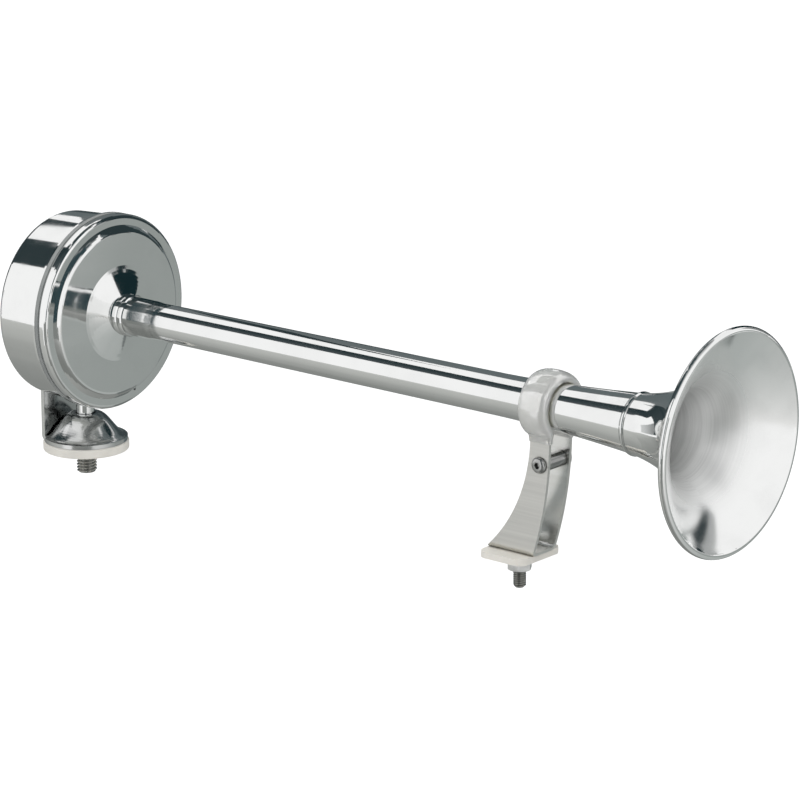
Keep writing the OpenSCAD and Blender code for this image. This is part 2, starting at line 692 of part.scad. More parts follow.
// Soft sleeve on the strap's loop, its waist bends and the top of its legs
module clip_sleeve() {
    wedge = 3*(loop_r + waist_r);
    color([0.80, 0.82, 0.82]) difference() {
        translate([clip_x - foot_set, 0, axis_height]) union() {
            difference() {
                rotate([0, 90, 0]) rotate_extrude() translate([loop_r, 0]) soft_section();
                rotate([90, 0, 90]) linear_extrude(wedge, center = true)
                    polygon([[0, 0], [wedge*tan(waist_a), -wedge], [-wedge*tan(waist_a), -wedge]]);
            }
            for (side = [-1, 1]) mirror([0, side < 0 ? 1 : 0, 0]) {
                intersection() {
                    translate([0, waist_y, -waist_z]) rotate([0, 90, 0])
                        rotate_extrude() translate([waist_r, 0]) soft_section();
                    rotate([90, 0, 90]) linear_extrude(wedge, center = true)
                        polygon([[waist_y, -waist_z], [0, -waist_z], [0, 0]]);
                }
                translate([0, leg_y, -soft_end]) linear_extrude(soft_leg) rotate(90) soft_section();
            }
        }
        translate([clip_x - foot_set - strap_w/2 - fit, 0, axis_height]) rotate([90, 0, 90])
            linear_extrude(strap_w + 2*fit) omega(fit);
        soft_bore();
    }
}
// What the tube needs inside the sleeve
module soft_bore() {
    reach = strap_w/2 + soft_side + cut;
    points = [for (i = [0:bead_n]) let (x = clip_x - reach + 2*reach*i/bead_n) [tube_out(x) + tube_gap, x]];
    revolve(concat([[0, clip_x - reach]], points, [[0, clip_x + reach]]));
}

module leg_spacer() {
    half = leg_w/2 - strap_t - fit;
    color([0.66, 0.67, 0.68]) difference() {
        cross_bar(spacer_r, -half, half);
        cross_bar(screw_r + fit, -leg_w, leg_w);
    }
}

// Button-head screw through both legs and the spacer
module clamp_screw() {
    head_y = -leg_w/2;
    tip_y = leg_w/2 + clamp_nut_h + screw_out;
    dome_c = (pow(screw_head_r, 2) - pow(screw_head_h, 2))/(2*screw_head_h);
    ball_r = dome_c + screw_head_h;
    color([0.60, 0.61, 0.62]) difference() {
        union() {
            cross_bar(screw_r, head_y, tip_y);
            intersection() {
                cross_bar(screw_head_r, head_y - screw_head_h - cut, head_y);
                translate([clip_x - foot_set, head_y + dome_c, axis_height - screw_drop]) sphere(r = ball_r);
            }
        }
        cross_bar(hex_r(socket_af), head_y - screw_head_h - cut, head_y - screw_head_h + socket_d, hex_n);
    }
}

module clamp_nut() {
    color([0.70, 0.71, 0.72]) difference() {
        cross_bar(hex_r(clamp_nut_af), leg_w/2, leg_w/2 + clamp_nut_h, hex_n, 180/hex_n);
        cross_bar(screw_r + fit, leg_w/2 - cut, leg_w/2 + clamp_nut_h + cut);
    }
}

// Hex bolt, its head between the legs and its thread down through the pad and the deck
module mount_bolt() {
    head_z = strap_z + strap_t;
    mid_z = head_z + bolt_head_h/2;
    thread_z = -washer_t - nut_h - thread_set;
    shank = bolt_r - bolt_relief;
    color([0.60, 0.61, 0.60]) translate([foot_x - foot_set, 0, 0]) union() {
        translate([0, 0, head_z]) cylinder(r = hex_r(bolt_af), h = bolt_head_h, $fn = hex_n);
        rotate_extrude() polygon([[0, -bolt_free], [bolt_r - stud_cham, -bolt_free], [bolt_r, stud_cham - bolt_free],
            [bolt_r, thread_z], [shank, thread_z], [shank, mid_z], [0, mid_z]]);
    }
}

module front_pad() {
    mid = [front_pad_l/2 - front_pad_corner, front_pad_w/2 - front_pad_corner];
    color([0.90, 0.88, 0.82]) translate([foot_x - foot_set, 0, 0]) difference() {
        union() {
            for (a = [-1, 1]) for (b = [-1, 1]) translate([a*mid[0], b*mid[1], 0])
                cylinder(r = front_pad_corner, h = front_pad_t);
            translate([-front_pad_l/2, -mid[1], 0]) cube([front_pad_l, 2*mid[1], front_pad_t]);
            translate([-mid[0], -front_pad_w/2, 0]) cube([2*mid[0], front_pad_w, front_pad_t]);
        }
        translate([0, 0, -cut]) cylinder(r = bolt_r + fit, h = front_pad_t + 2*cut);
    }
}

module front_washer() {
    color([0.75, 0.76, 0.77]) translate([foot_x - foot_set, 0, -washer_t]) difference() {
        cylinder(r = washer_r, h = washer_t);
        translate([0, 0, -cut]) cylinder(r = bolt_r + fit, h = washer_t + 2*cut);
    }
}

module front_nut() {
    color([0.80, 0.80, 0.79]) translate([foot_x - foot_set, 0, -washer_t - nut_h]) difference() {
        cylinder(r = hex_r(bolt_af), h = nut_h, $fn = hex_n);
        translate([0, 0, -cut]) cylinder(r = bolt_r - bolt_relief + fit, h = nut_h + 2*cut);
    }
}

// Ring inside the housing that carries the diaphragm's rim
module seat_ring() {
    x0 = gasket_x - seat_depth;
    x1 = cup_depth - lip_fillet;
    color([0.45, 0.46, 0.47]) revolve([
        [seat_in_r, x0], [cup_out(x0) - sheet - fit, x0], [cup_out(x1) - sheet - fit, x1],
        [cup_out(x1) - sheet - fit, gasket_x], [seat_in_r, gasket_x]]);
}

module diaphragm() {
    color([0.50, 0.52, 0.55]) ring(stem_r + fit, disc_r, diaphragm_x, front_gasket_x);
}

module front_gasket() {
    color([0.22, 0.24, 0.25]) ring(seat_in_r, disc_r, front_gasket_x, clamp_x);
}

module clamp_ring() {
    color([0.45, 0.46, 0.47]) ring(step_r, clamp_r, clamp_x, border_x - sheet);
}

// Pot magnet: base, centre pole, wall, and the stud that goes out through the drum's back
module magnet_core() {
    stud_end = bracket_t + back_washer_t + back_nut_h + core_stud_free;
    color([0.40, 0.41, 0.43]) revolve([
        [0, -stud_end], [core_stud_r, -stud_end], [core_stud_r, sheet], [pot_r, sheet],
        [pot_r, pot_x + pot_len], [pot_r - pot_wall, pot_x + pot_len], [pot_r - pot_wall, pot_x],
        [pole_r, pot_x], [pole_r, pole_x], [0, pole_x]]);
}

module coil_bobbin() {
    end_x = pot_x + bobbin_len;
    core_r = pole_r + fit + bobbin_wall;
    color([0.15, 0.15, 0.16]) revolve([
        [pole_r + fit, pot_x], [bobbin_r, pot_x], [bobbin_r, pot_x + bobbin_wall], [core_r, pot_x + bobbin_wall],
        [core_r, end_x - bobbin_wall], [bobbin_r, end_x - bobbin_wall], [bobbin_r, end_x], [pole_r + fit, end_x]]);
}

module coil_winding() {
    color([0.72, 0.42, 0.22]) ring(pole_r + 2*fit + bobbin_wall, bobbin_r - winding_set,
        pot_x + bobbin_wall + fit, pot_x + bobbin_len - bobbin_wall - fit);
}

// Iron disc on the diaphragm, with its boss and threaded stem
module armature() {
    stem_end = clamp_x + stem_nut_h + stem_washer_t;
    color([0.42, 0.43, 0.45]) revolve([
        [0, armature_x], [armature_r, armature_x], [armature_r, armature_x + armature_t],
        [armature_boss_r, armature_x + armature_t], [armature_boss_r, diaphragm_x],
        [stem_r, diaphragm_x], [stem_r, stem_end], [0, stem_end]]);
}

module stem_washer() {
    color([0.60, 0.61, 0.62]) ring(stem_r + fit, stem_washer_r, front_gasket_x, front_gasket_x + stem_washer_t);
}

module stem_nut() {
    color([0.60, 0.61, 0.62]) on_axis() translate([0, 0, front_gasket_x + stem_washer_t]) difference() {
        cylinder(r = hex_r(bolt_af), h = stem_nut_h, $fn = hex_n);
        translate([0, 0, -cut]) cylinder(r = stem_r + fit, h = stem_nut_h + 2*cut);
    }
}

// Insulating block on the drum's back, with two ears for the arm's pin and a shelf for the strip
module contact_base() {
    ear_z = arm_w/2 + 4*fit;
    out_z = ear_z + ear_t;
    floor_x = arm_x - eye_r - 6*fit;
    strip_x = arm_x + strip_rise;
    lo_y = pin_set - eye_r - 6*fit;
    hi_y = pin_set + eye_r + 6*fit;
    color([0.30, 0.20, 0.14]) difference() {
        union() {
            axis_box([sheet, lo_y, -out_z], [floor_x, hi_y + ear_t, out_z]);
            axis_box([floor_x, lo_y, -out_z], [arm_x + eye_r, hi_y + ear_t, -ear_z]);
            axis_box([floor_x, lo_y, ear_z], [arm_x + eye_r, hi_y + ear_t, out_z]);
            axis_box([floor_x, hi_y, -ear_z], [strip_x, hi_y + ear_t, ear_z]);
        }
        translate([arm_x - foot_set, pin_set, axis_height]) cylinder(r = pin_r + fit, h = 4*out_z, center = true);
    }
}

module contact_pin() {
    half = arm_w/2 + 4*fit + ear_t;
    color([0.65, 0.66, 0.67]) translate([arm_x - foot_set, pin_set, axis_height])
        cylinder(r = pin_r, h = 2*half, center = true);
}

// Breaker arm on its pin, with the pusher under the armature and the moving contact point
module contact_arm() {
    low_x = arm_x - arm_t/2;
    top_x = arm_x + arm_t/2;
    color([0.72, 0.60, 0.34]) difference() {
        union() {
            translate([arm_x - foot_set, pin_set, axis_height]) cylinder(r = eye_r, h = arm_w, center = true);
            axis_box([low_x, pusher_set - 2*point_r, -arm_w/2], [top_x, pin_set, arm_w/2]);
            translate([top_x - foot_set, pusher_set, axis_height]) rotate([0, 90, 0])
                cylinder(r = point_r, h = armature_x - top_x - point_gap);
            translate([top_x - foot_set, point_set, axis_height]) rotate([0, 90, 0]) cylinder(r = point_r, h = point_h);
        }
        translate([arm_x - foot_set, pin_set, axis_height]) cylinder(r = pin_r + fit, h = 2*arm_w, center = true);
    }
}

// Fixed strip over the arm, tapped for the adjusting screw
module contact_strip() {
    strip_x = arm_x + strip_rise;
    hi_y = pin_set + eye_r + 6*fit + ear_t;
    color([0.72, 0.60, 0.34]) difference() {
        axis_box([strip_x, point_set - 2*point_r, -arm_w/2], [strip_x + strip_t, hi_y, arm_w/2]);
        translate([strip_x - cut - foot_set, point_set, axis_height]) rotate([0, 90, 0])
            cylinder(r = point_r + fit, h = strip_t + 2*cut);
    }
}

module adjusting_screw() {
    tip_x = arm_x + arm_t/2 + point_h + point_gap;
    head_x = arm_x + strip_rise + strip_t;
    color([0.70, 0.66, 0.50]) translate([-foot_set, point_set, axis_height]) rotate([0, 90, 0]) union() {
        translate([0, 0, tip_x]) cylinder(r = point_r, h = head_x - tip_x + point_h);
        translate([0, 0, head_x]) cylinder(r = 2*point_r, h = point_r);
    }
}

rear_housing();
seam_gasket();
front_cover();
throat_collar();
throat_sleeve();
horn_tube();
joint_ring();
bell();
rear_bracket();
conduit_stud();
rear_pad();
back_washer();
back_nut();
front_strap();
clip_sleeve();
leg_spacer();
clamp_screw();
clamp_nut();
mount_bolt();
front_pad();
front_washer();
front_nut();
seat_ring();
diaphragm();
front_gasket();
clamp_ring();
magnet_core();
coil_bobbin();
coil_winding();
armature();
stem_washer();
stem_nut();
contact_base();
contact_pin();
contact_arm();
contact_strip();
adjusting_screw();
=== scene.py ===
import math

import bmesh
import bpy
from mathutils import Matrix, Vector


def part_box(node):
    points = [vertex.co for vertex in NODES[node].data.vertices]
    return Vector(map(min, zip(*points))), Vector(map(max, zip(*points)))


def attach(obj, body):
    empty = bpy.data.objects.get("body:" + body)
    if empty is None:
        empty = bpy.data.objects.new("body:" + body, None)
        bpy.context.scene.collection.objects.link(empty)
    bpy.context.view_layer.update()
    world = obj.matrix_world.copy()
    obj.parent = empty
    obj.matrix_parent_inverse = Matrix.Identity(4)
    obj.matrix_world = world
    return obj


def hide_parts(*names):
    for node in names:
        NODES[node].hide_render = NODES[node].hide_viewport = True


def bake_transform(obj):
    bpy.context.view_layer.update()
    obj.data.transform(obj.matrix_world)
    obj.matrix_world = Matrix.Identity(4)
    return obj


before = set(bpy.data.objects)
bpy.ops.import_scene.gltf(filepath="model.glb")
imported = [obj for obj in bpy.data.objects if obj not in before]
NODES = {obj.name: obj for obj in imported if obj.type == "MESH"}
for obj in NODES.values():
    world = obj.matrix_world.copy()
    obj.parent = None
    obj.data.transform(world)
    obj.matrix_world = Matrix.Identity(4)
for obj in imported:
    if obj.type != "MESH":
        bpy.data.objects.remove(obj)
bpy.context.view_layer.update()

bl_info = {
    "name": "Marine trumpet horn",
    "version": (1, 0, 0),
    "blender": (4, 5, 0),
    "location": "View3D > Sidebar > Horn",
    "description": "Dresses a polished deck horn: drum, throat, tube, bell, rear foot and clip",
    "category": "Object",
}

MM = 0.001


def middle(node):
    """The centre of a CAD node's box."""
    low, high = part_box(node)
    return (Vector(low) + Vector(high)) / 2


AXIS_Z = middle("horn_tube").z
CLIP_X = middle("clip_sleeve").x
SCREW = middle("leg_spacer")


class HornSizes(bpy.types.PropertyGroup):
    """Sizes of the pieces that are made here"""

    rear_pitch: bpy.props.FloatProperty(
        name="Rear thread pitch", description="Pitch of the hollow stud's thread", default=1.5 * MM, min=0.5 * MM,
        max=3 * MM, unit="LENGTH", precision=4)
    front_pitch: bpy.props.FloatProperty(
        name="Front thread pitch", description="Pitch of the front bolt's thread", default=1.0 * MM, min=0.4 * MM,
        max=2 * MM, unit="LENGTH", precision=4)
    sleeve_wall: bpy.props.FloatProperty(
        name="Sleeve wall", description="Wall of the soft tubing on the clip", default=1.4 * MM, min=0.6 * MM,
        max=2 * MM, unit="LENGTH", precision=4)
    sleeve_side: bpy.props.FloatProperty(
        name="Sleeve overhang", description="How far the soft tubing reaches past the strap's edges",
        default=2.0 * MM, min=1 * MM, max=3 * MM, unit="LENGTH", precision=4)
    edge_break: bpy.props.FloatProperty(
        name="Edge break", description="Rounding of the sheet's and the fasteners' edges", default=0.25 * MM,
        min=0.05 * MM, max=0.5 * MM, unit="LENGTH", precision=5)


class HornFinish(bpy.types.PropertyGroup):
    """Colours and polish of the horn's materials"""

    steel: bpy.props.FloatVectorProperty(
        name="Polished steel", description="Colour of the polished drum, tube and bell", subtype="COLOR", size=3,
        default=(0.88, 0.885, 0.88), min=0, max=1)
    satin: bpy.props.FloatVectorProperty(
        name="Satin steel", description="Colour of the strap and the rear bracket", subtype="COLOR", size=3,
        default=(0.72, 0.715, 0.69), min=0, max=1)
    fastener: bpy.props.FloatVectorProperty(
        name="Fasteners", description="Colour of screws, nuts and washers", subtype="COLOR", size=3,
        default=(0.56, 0.56, 0.555), min=0, max=1)
    thread: bpy.props.FloatVectorProperty(
        name="Threads", description="Colour of the studs below the deck", subtype="COLOR", size=3,
        default=(0.52, 0.52, 0.50), min=0, max=1)
    nylon: bpy.props.FloatVectorProperty(
        name="Pads", description="Colour of the nylon pads", subtype="COLOR", size=3,
        default=(0.86, 0.835, 0.775), min=0, max=1)
    sleeve: bpy.props.FloatVectorProperty(
        name="Soft sleeve", description="Tint of the clear tubing on the clip", subtype="COLOR", size=3,
        default=(0.93, 0.94, 0.90), min=0, max=1)
    polish: bpy.props.FloatProperty(
        name="Polish", description="Roughness of the polished steel", subtype="FACTOR", default=0.06, min=0.01, max=0.4)
    bell_satin: bpy.props.FloatProperty(
        name="Bell inside", description="Roughness of the turned inside of the bell", subtype="FACTOR", default=0.42,
        min=0.05, max=0.6)


class HornStage(bpy.types.PropertyGroup):
    """Camera, floor and light"""

    eye: bpy.props.FloatVectorProperty(
        name="Eye", description="Place of the camera", subtype="TRANSLATION", size=3,
        default=(1.24856, -1.25324, 0.50608))
    aim: bpy.props.FloatVectorProperty(
        name="Aim", description="Point that the camera looks at", subtype="TRANSLATION", size=3,
        default=(0.19925, 0.0, 0.05884))
    roll: bpy.props.FloatProperty(
        name="Roll", description="Turn of the camera about its own axis", subtype="ANGLE", default=math.radians(-0.09))
    lens: bpy.props.FloatProperty(
        name="Lens", description="Focal length for a 36 mm sensor", default=169.38, min=20, max=400,
        unit="CAMERA")
    floor_drop: bpy.props.FloatProperty(
        name="Floor drop", description="Distance of the floor below the deck plane", default=0.42, min=0.02, max=2,
        unit="LENGTH")
    key: bpy.props.FloatProperty(
        name="Key light", description="Power of the soft lamp above the horn", default=9.0, min=0, max=100,
        unit="POWER")
    room: bpy.props.FloatProperty(
        name="Room light", description="Light of the room on dull surfaces", default=0.72, min=0, max=2)


class Graph:
    """A node tree with short ways to add and link nodes."""

    def __init__(self, tree):
        self.tree = tree

    def add(self, kind, inputs=None, **settings):
        """A new node with its settings and inputs."""
        made = self.tree.nodes.new(kind)
        for key, value in settings.items():
            setattr(made, key, value)
        self.fill(made.inputs, inputs or {})
        return made

    def fill(self, sockets, values):
        """Links or sets sockets by their names or numbers."""
        for key, value in values.items():
            if isinstance(value, bpy.types.NodeSocket):
                self.tree.links.new(value, sockets[key])
            else:
                sockets[key].default_value = value

    def math(self, operation, *values):
        return self.add("ShaderNodeMath", dict(enumerate(values)), operation=operation).outputs[0]

    def plus(self, one, other):
        return self.math("ADD", one, other)

    def times(self, one, other):
        return self.math("MULTIPLY", one, other)

    def spread(self, value, low, high, to_low=0.0, to_high=1.0):
        """A value from low to high, brought smoothly to a new range."""
        made = self.add("ShaderNodeMapRange", {"Value": value, "From Min": low, "From Max": high,
                                               "To Min": to_low, "To Max": to_high}, interpolation_type="SMOOTHSTEP")
        return made.outputs["Result"]

    def over(self, mask, low, high):
        """A mask, brought smoothly to a range."""
        return self.spread(mask, 0.0, 1.0, low, high)

    def noise(self, vector, scale, detail, rough=0.5):
        made = self.add("ShaderNodeTexNoise", {"Vector": vector, "Scale": scale, "Detail": detail, "Roughness": rough})
        return made.outputs[0]

    def vector(self, operation, *values):
        return self.add("ShaderNodeVectorMath", dict(enumerate(values)), operation=operation).outputs[0]

    def scaled(self, vector, factor):
        return self.add("ShaderNodeVectorMath", {0: vector, "Scale": factor}, operation="SCALE").outputs[0]

    def dot(self, one, other):
        return self.add("ShaderNodeVectorMath", {0: one, 1: other}, operation="DOT_PRODUCT").outputs["Value"]

    def parts(self, vector):
        return self.add("ShaderNodeSeparateXYZ", {0: vector}).outputs

    def tint(self, factor, dark, light):
        """A colour between two."""
        return self.add("ShaderNodeMix", {0: factor, 6: dark, 7: light}, data_type="RGBA").outputs[2]


def new_group(name, inputs, outputs):
    """An empty shader node group, its graph, inputs and outputs; an input of None is a vector to be linked."""
    tree = bpy.data.node_groups.new(name, "ShaderNodeTree")
    for label, value in inputs.items():
        kind = "NodeSocketFloat" if isinstance(value, float) else "NodeSocketVector"
        socket = tree.interface.new_socket(label, in_out="INPUT", socket_type=kind)
        if value is not None:
            socket.default_value = value
    for label in outputs:
        kind = "NodeSocketVector" if label == "Normal" else "NodeSocketFloat"
        tree.interface.new_socket(label, in_out="OUTPUT", socket_type=kind)
    graph = Graph(tree)
    return tree, graph, graph.add("NodeGroupInput").outputs, graph.add("NodeGroupOutput").inputs


def turning_group():
    """Rings that a lathe or a spinning tool leaves about the horn's axis."""
    tree, g, given, out = new_group(
        "Turning marks", {"Vector": None, "Axis Height": AXIS_Z, "Fineness": 900.0}, ("Height", "Rings", "Radius"))
    x, y, z = g.parts(given["Vector"])
    up = g.math("SUBTRACT", z, given["Axis Height"])
    radius = g.math("SQRT", g.plus(g.times(y, y), g.times(up, up)))
    turn = g.math("ARCTAN2", y, up)
    place = g.add("ShaderNodeCombineXYZ", {0: g.times(x, given["Fineness"]), 1: g.times(radius, given["Fineness"]),
                                           2: g.times(turn, 0.5)}).outputs[0]
    g.fill(out, {"Height": g.noise(place, 1.0, 2.0), "Rings": g.noise(place, 0.16, 2.0), "Radius": radius})
    return tree


def turned_group():
    """Normals of a turned part without the facets of its mesh; Slope fades its steps along the axis."""
    tree, g, given, out = new_group(
        "Turned normal", {"Vector": None, "Normal": None, "Axis Height": AXIS_Z, "Slope": 1.0}, ("Normal", "Lean"))
    ahead = (1.0, 0.0, 0.0)
    height = g.add("ShaderNodeCombineXYZ", {2: given["Axis Height"]}).outputs[0]
    spot = g.vector("SUBTRACT", given["Vector"], height)
    outward = g.vector("NORMALIZE", g.vector("MULTIPLY", spot, (0.0, 1.0, 1.0)))
    round_way = g.vector("CROSS_PRODUCT", ahead, outward)
    lean = g.dot(outward, given["Normal"])
    side = g.dot(round_way, given["Normal"])
    # A small lean to the side comes from the facets, and a large one is a real edge
    kept = g.times(side, g.spread(g.math("ABSOLUTE", side), 0.08, 0.2))
    along = g.times(g.dot(ahead, given["Normal"]), given["Slope"])
    total = g.add("ShaderNodeCombineXYZ", {0: along}).outputs[0]
    for way, share in ((outward, lean), (round_way, kept)):
        total = g.vector("ADD", total, g.scaled(way, share))
    g.fill(out, {"Normal": g.vector("NORMALIZE", total), "Lean": lean})
    return tree


def handling_group():
    """Smudges, a few specks and shallow waves, left by use and salt."""
    tree, g, given, out = new_group("Handling marks", {"Vector": None, "Size": 1.0}, ("Smudge", "Specks", "Waves"))
    spot = g.scaled(given["Vector"], given["Size"])
    g.fill(out, {"Smudge": g.spread(g.noise(spot, 42.0, 4.0, 0.6), 0.42, 0.68),
                 "Specks": g.spread(g.noise(spot, 620.0, 1.0), 0.74, 0.80), "Waves": g.noise(spot, 58.0, 1.0)})
    return tree


def brush_group():
    """Fine straight lines of a sanding belt."""
    tree, g, given, out = new_group(
        "Brush lines", {"Vector": None, "Stretch": (60.0, 60.0, 2600.0)}, ("Lines", "Bands"))
    place = g.vector("MULTIPLY", given["Vector"], given["Stretch"])
    g.fill(out, {"Lines": g.noise(place, 1.0, 3.0, 0.6), "Bands": g.noise(place, 0.22, 2.0)})
    return tree


def grain_group():
    """Grain and faint clouding of moulded plastic or rubber."""
    tree, g, given, out = new_group(
        "Moulded grain", {"Vector": None, "Grain Size": 1800.0, "Cloud Size": 120.0}, ("Height", "Cloud"))
    g.fill(out, {"Height": g.noise(given["Vector"], given["Grain Size"], 2.0),
                 "Cloud": g.spread(g.noise(given["Vector"], given["Cloud Size"], 3.0), 0.35, 0.7)})
    return tree


def crevice_group():
    """Where painted shade goes, and on the tubing a painted yellowish light: close to a neighbour or deep in a groove.
    """
    tree, g, given, out = new_group("Crevice mask for painted shade and light", {"Distance": 1.5 * MM}, ("Mask",))
    near = g.add("ShaderNodeAmbientOcclusion", {"Distance": given["Distance"]}, samples=8)
    g.fill(out, {"Mask": g.spread(near.outputs["AO"], 0.35, 0.95, 1.0, 0.0)})
    return tree


MAKERS = {"turning": turning_group, "turned": turned_group, "handling": handling_group, "brush": brush_group,
          "grain": grain_group, "crevice": crevice_group}
GROUPS = {}
BLACK = (0.0, 0.0, 0.0, 1.0)


def rgba(colour, gain=1.0):
    """A colour times a gain, with full alpha."""
    return tuple(min(1.0, part * gain) for part in colour) + (1.0,)


class Paint(Graph):
    """A new material's graph, with the object's own coordinates and the horn's finish."""

    def __init__(self, name):
        self.material = bpy.data.materials.new(name)
        self.material.use_nodes = True
        super().__init__(self.material.node_tree)
        self.place = self.add("ShaderNodeTexCoord").outputs["Object"]
        self.finish = bpy.context.scene.horn_finish

    def effect(self, name, **inputs):
        """Places a shared node group, at the object's coordinates if it asks for them, and returns its outputs."""
        if name not in GROUPS:
            GROUPS[name] = MAKERS[name]()
        made = self.add("ShaderNodeGroup", node_tree=GROUPS[name])
        if "Vector" in made.inputs:
            self.fill(made.inputs, {"Vector": self.place})
        self.fill(made.inputs, {key.replace("_", " ").title(): value for key, value in inputs.items()})
        return made.outputs

    def shade(self, mask, colour, low, high):
        """A colour at two gains, chosen by a mask."""
        return self.tint(mask, rgba(colour, low), rgba(colour, high))

    def crevice_painted(self, unpainted, distance, share, crevice_colour):
        """A colour with painted shade where the surface is within a distance of another; on the tubing the added colour
        is a painted yellowish light.
        """
        mask = self.effect("crevice", distance=distance)["Mask"]
        return self.tint(self.times(mask, share), unpainted, rgba(crevice_colour))

    def facing(self):
        return self.add("ShaderNodeNewGeometry").outputs["Normal"]

    def bump(self, height, strength, normal=None, depth=0.02 * MM):
        """A normal that follows a height, on top of another normal or the mesh's own."""
        inputs = {"Height": height, "Strength": strength, "Distance": depth}
        if normal is not None:
            inputs["Normal"] = normal
        return self.add("ShaderNodeBump", inputs).outputs["Normal"]

    def done(self, values):
        """Fills in the shader and returns the material."""
        self.fill(self.tree.nodes["Principled BSDF"].inputs, values)
        return self.material


def polished_steel(name, fineness, rings_share, waves_share, rough=None, slope=1.0):
    """Mirror polish with faint turning marks, smudges and specks."""
    g = Paint(name)
    level = rough or g.finish.polish
    rings = g.effect("turning", fineness=fineness)
    marks = g.effect("handling")
    turned = g.effect("turned", normal=g.facing(), slope=slope)
    worn = g.plus(g.over(marks["Smudge"], level, level * 1.5), g.times(marks["Specks"], 0.12))
    rows = g.spread(rings["Rings"], 0.3, 0.7, -0.2 * level, 0.3 * level)
    height = g.plus(g.times(rings["Height"], rings_share), g.times(marks["Waves"], waves_share))
    return g.done({
        "Base Color": g.shade(marks["Smudge"], g.finish.steel, 1.0, 0.965), "Metallic": 1.0,
        "Roughness": g.plus(worn, rows), "Normal": g.bump(height, 0.35, turned["Normal"])})


def bracket_steel(name):
    """Pressed and barrel-polished, softer than the drum, with painted shade in its corners."""
    g = Paint(name)
    marks = g.effect("handling")
    grain = g.effect("grain", grain_size=1600.0, cloud_size=180.0)
    unpainted = g.shade(marks["Smudge"], g.finish.steel, 0.86, 0.78)
    # Painted shade: the colour goes towards dark teal within 14 mm of a neighbour
    return g.done({
        "Base Color": g.crevice_painted(unpainted, 14.0 * MM, 0.4, (0.14, 0.16, 0.165)), "Metallic": 1.0,
        "Roughness": g.plus(g.over(marks["Smudge"], 0.15, 0.19), g.times(marks["Specks"], 0.1)),
        "Normal": g.bump(grain["Height"], 0.05)})


# Radii on the bell: where the rolled rim's polish starts inside, the painted shade of the throat fades and the finer
# work begins
BELL_RIM = (47.0 * MM, 46.2 * MM)
BELL_THROAT_SHADE = (15.0 * MM, 36.0 * MM)
BELL_FINE = (22.0 * MM, 36.0 * MM)


def bell_steel(name):
    """Polished outside and turned satin inside."""
    g = Paint(name)
    rings = g.effect("turning", fineness=1500.0)
    marks = g.effect("handling")
    turned = g.effect("turned", normal=g.facing())
    # The rolled rim keeps its polish on both sides
    body = g.spread(rings["Radius"], *BELL_RIM)
    inside = g.times(g.spread(turned["Lean"], 0.05, -0.05), body)
    # Inside, the colour is painted darker towards the throat, a painted shade over the turning rings, and the surface
    # is worked finer towards the rim
    throat = g.times(inside, g.spread(rings["Radius"], *BELL_THROAT_SHADE, 1.0, 0.0))
    worn = g.shade(marks["Smudge"], g.finish.steel, 1.0, 0.95)
    rows = g.plus(g.times(rings["Rings"], 0.5), g.times(rings["Height"], 0.5))
    # The painted shade of the throat: the steel at lower gains, varied by the turning rings
    dull = g.shade(g.spread(rows, 0.38, 0.62), g.finish.steel, 0.77, 0.88)
    streak = g.spread(rings["Rings"], 0.25, 0.75, 0.97, 1.03)
    fine = g.times(streak, g.spread(rings["Radius"], *BELL_FINE, 1.0, 0.33))
    smooth = g.over(marks["Smudge"], g.finish.polish, g.finish.polish * 1.5)
    rough = g.add("ShaderNodeMix", {0: inside, 2: smooth, 3: g.times(fine, g.finish.bell_satin)}, data_type="FLOAT")
    height = g.times(rings["Height"], g.over(inside, 0.1, 0.25))
    return g.done({"Base Color": g.tint(throat, worn, dull), "Metallic": 1.0, "Roughness": rough.outputs[0],
                   "Normal": g.bump(height, 0.03, turned["Normal"])})


def satin_steel(name):
    """Belt-finished sheet with fine lines, painted shade where it meets its neighbours and painted light on the faces
    between its legs.
    """
    g = Paint(name)
    rough = 0.34
    lines = g.effect("brush")
    marks = g.effect("handling")
    # On the faces between the legs the colour is painted lighter, a painted light, and the roughness is lower
    between = g.spread(g.times(g.parts(g.place)[1], g.parts(g.facing())[1]), -1.0 * MM, -4.0 * MM)
    brushed = g.shade(lines["Bands"], g.finish.satin, 0.82, 1.12)
    inner_painted_light = g.shade(lines["Bands"], g.finish.satin, 1.15, 1.45)
    unpainted = g.tint(between, brushed, inner_painted_light)
    belt = g.plus(g.spread(lines["Lines"], 0.25, 0.75, rough * 0.9, rough * 1.1), g.times(marks["Smudge"], 0.04))
    # Painted shade: the colour goes towards olive within 5 mm of a neighbour, as under the bend of the foot
    return g.done({
        "Base Color": g.crevice_painted(unpainted, 5.0 * MM, 0.45, (0.22, 0.22, 0.17)), "Metallic": 1.0,
        "Roughness": g.times(belt, g.over(between, 1.0, 0.6)), "Normal": g.bump(lines["Lines"], 0.14)})


def fastener_steel(name, gain=1.0, rough=0.28):
    """Plain stainless fasteners: tumbled, with small dents, and with painted shade in their threads and sockets."""
    g = Paint(name)
    colour = g.finish.fastener
    marks = g.effect("handling", size=3.0)
    grain = g.effect("grain", grain_size=2600.0, cloud_size=300.0)
    unpainted = g.shade(grain["Cloud"], colour, 0.88 * gain, 1.08 * gain)
    # Painted shade: nearly black within 1.2 mm of a neighbour, in threads and sockets
    return g.done({
        "Base Color": g.crevice_painted(unpainted, 1.2 * MM, 0.9, (0.05, 0.05, 0.045)), "Metallic": 1.0,
        "Roughness": g.over(marks["Smudge"], rough, rough * 1.5), "Normal": g.bump(grain["Height"], 0.2)})


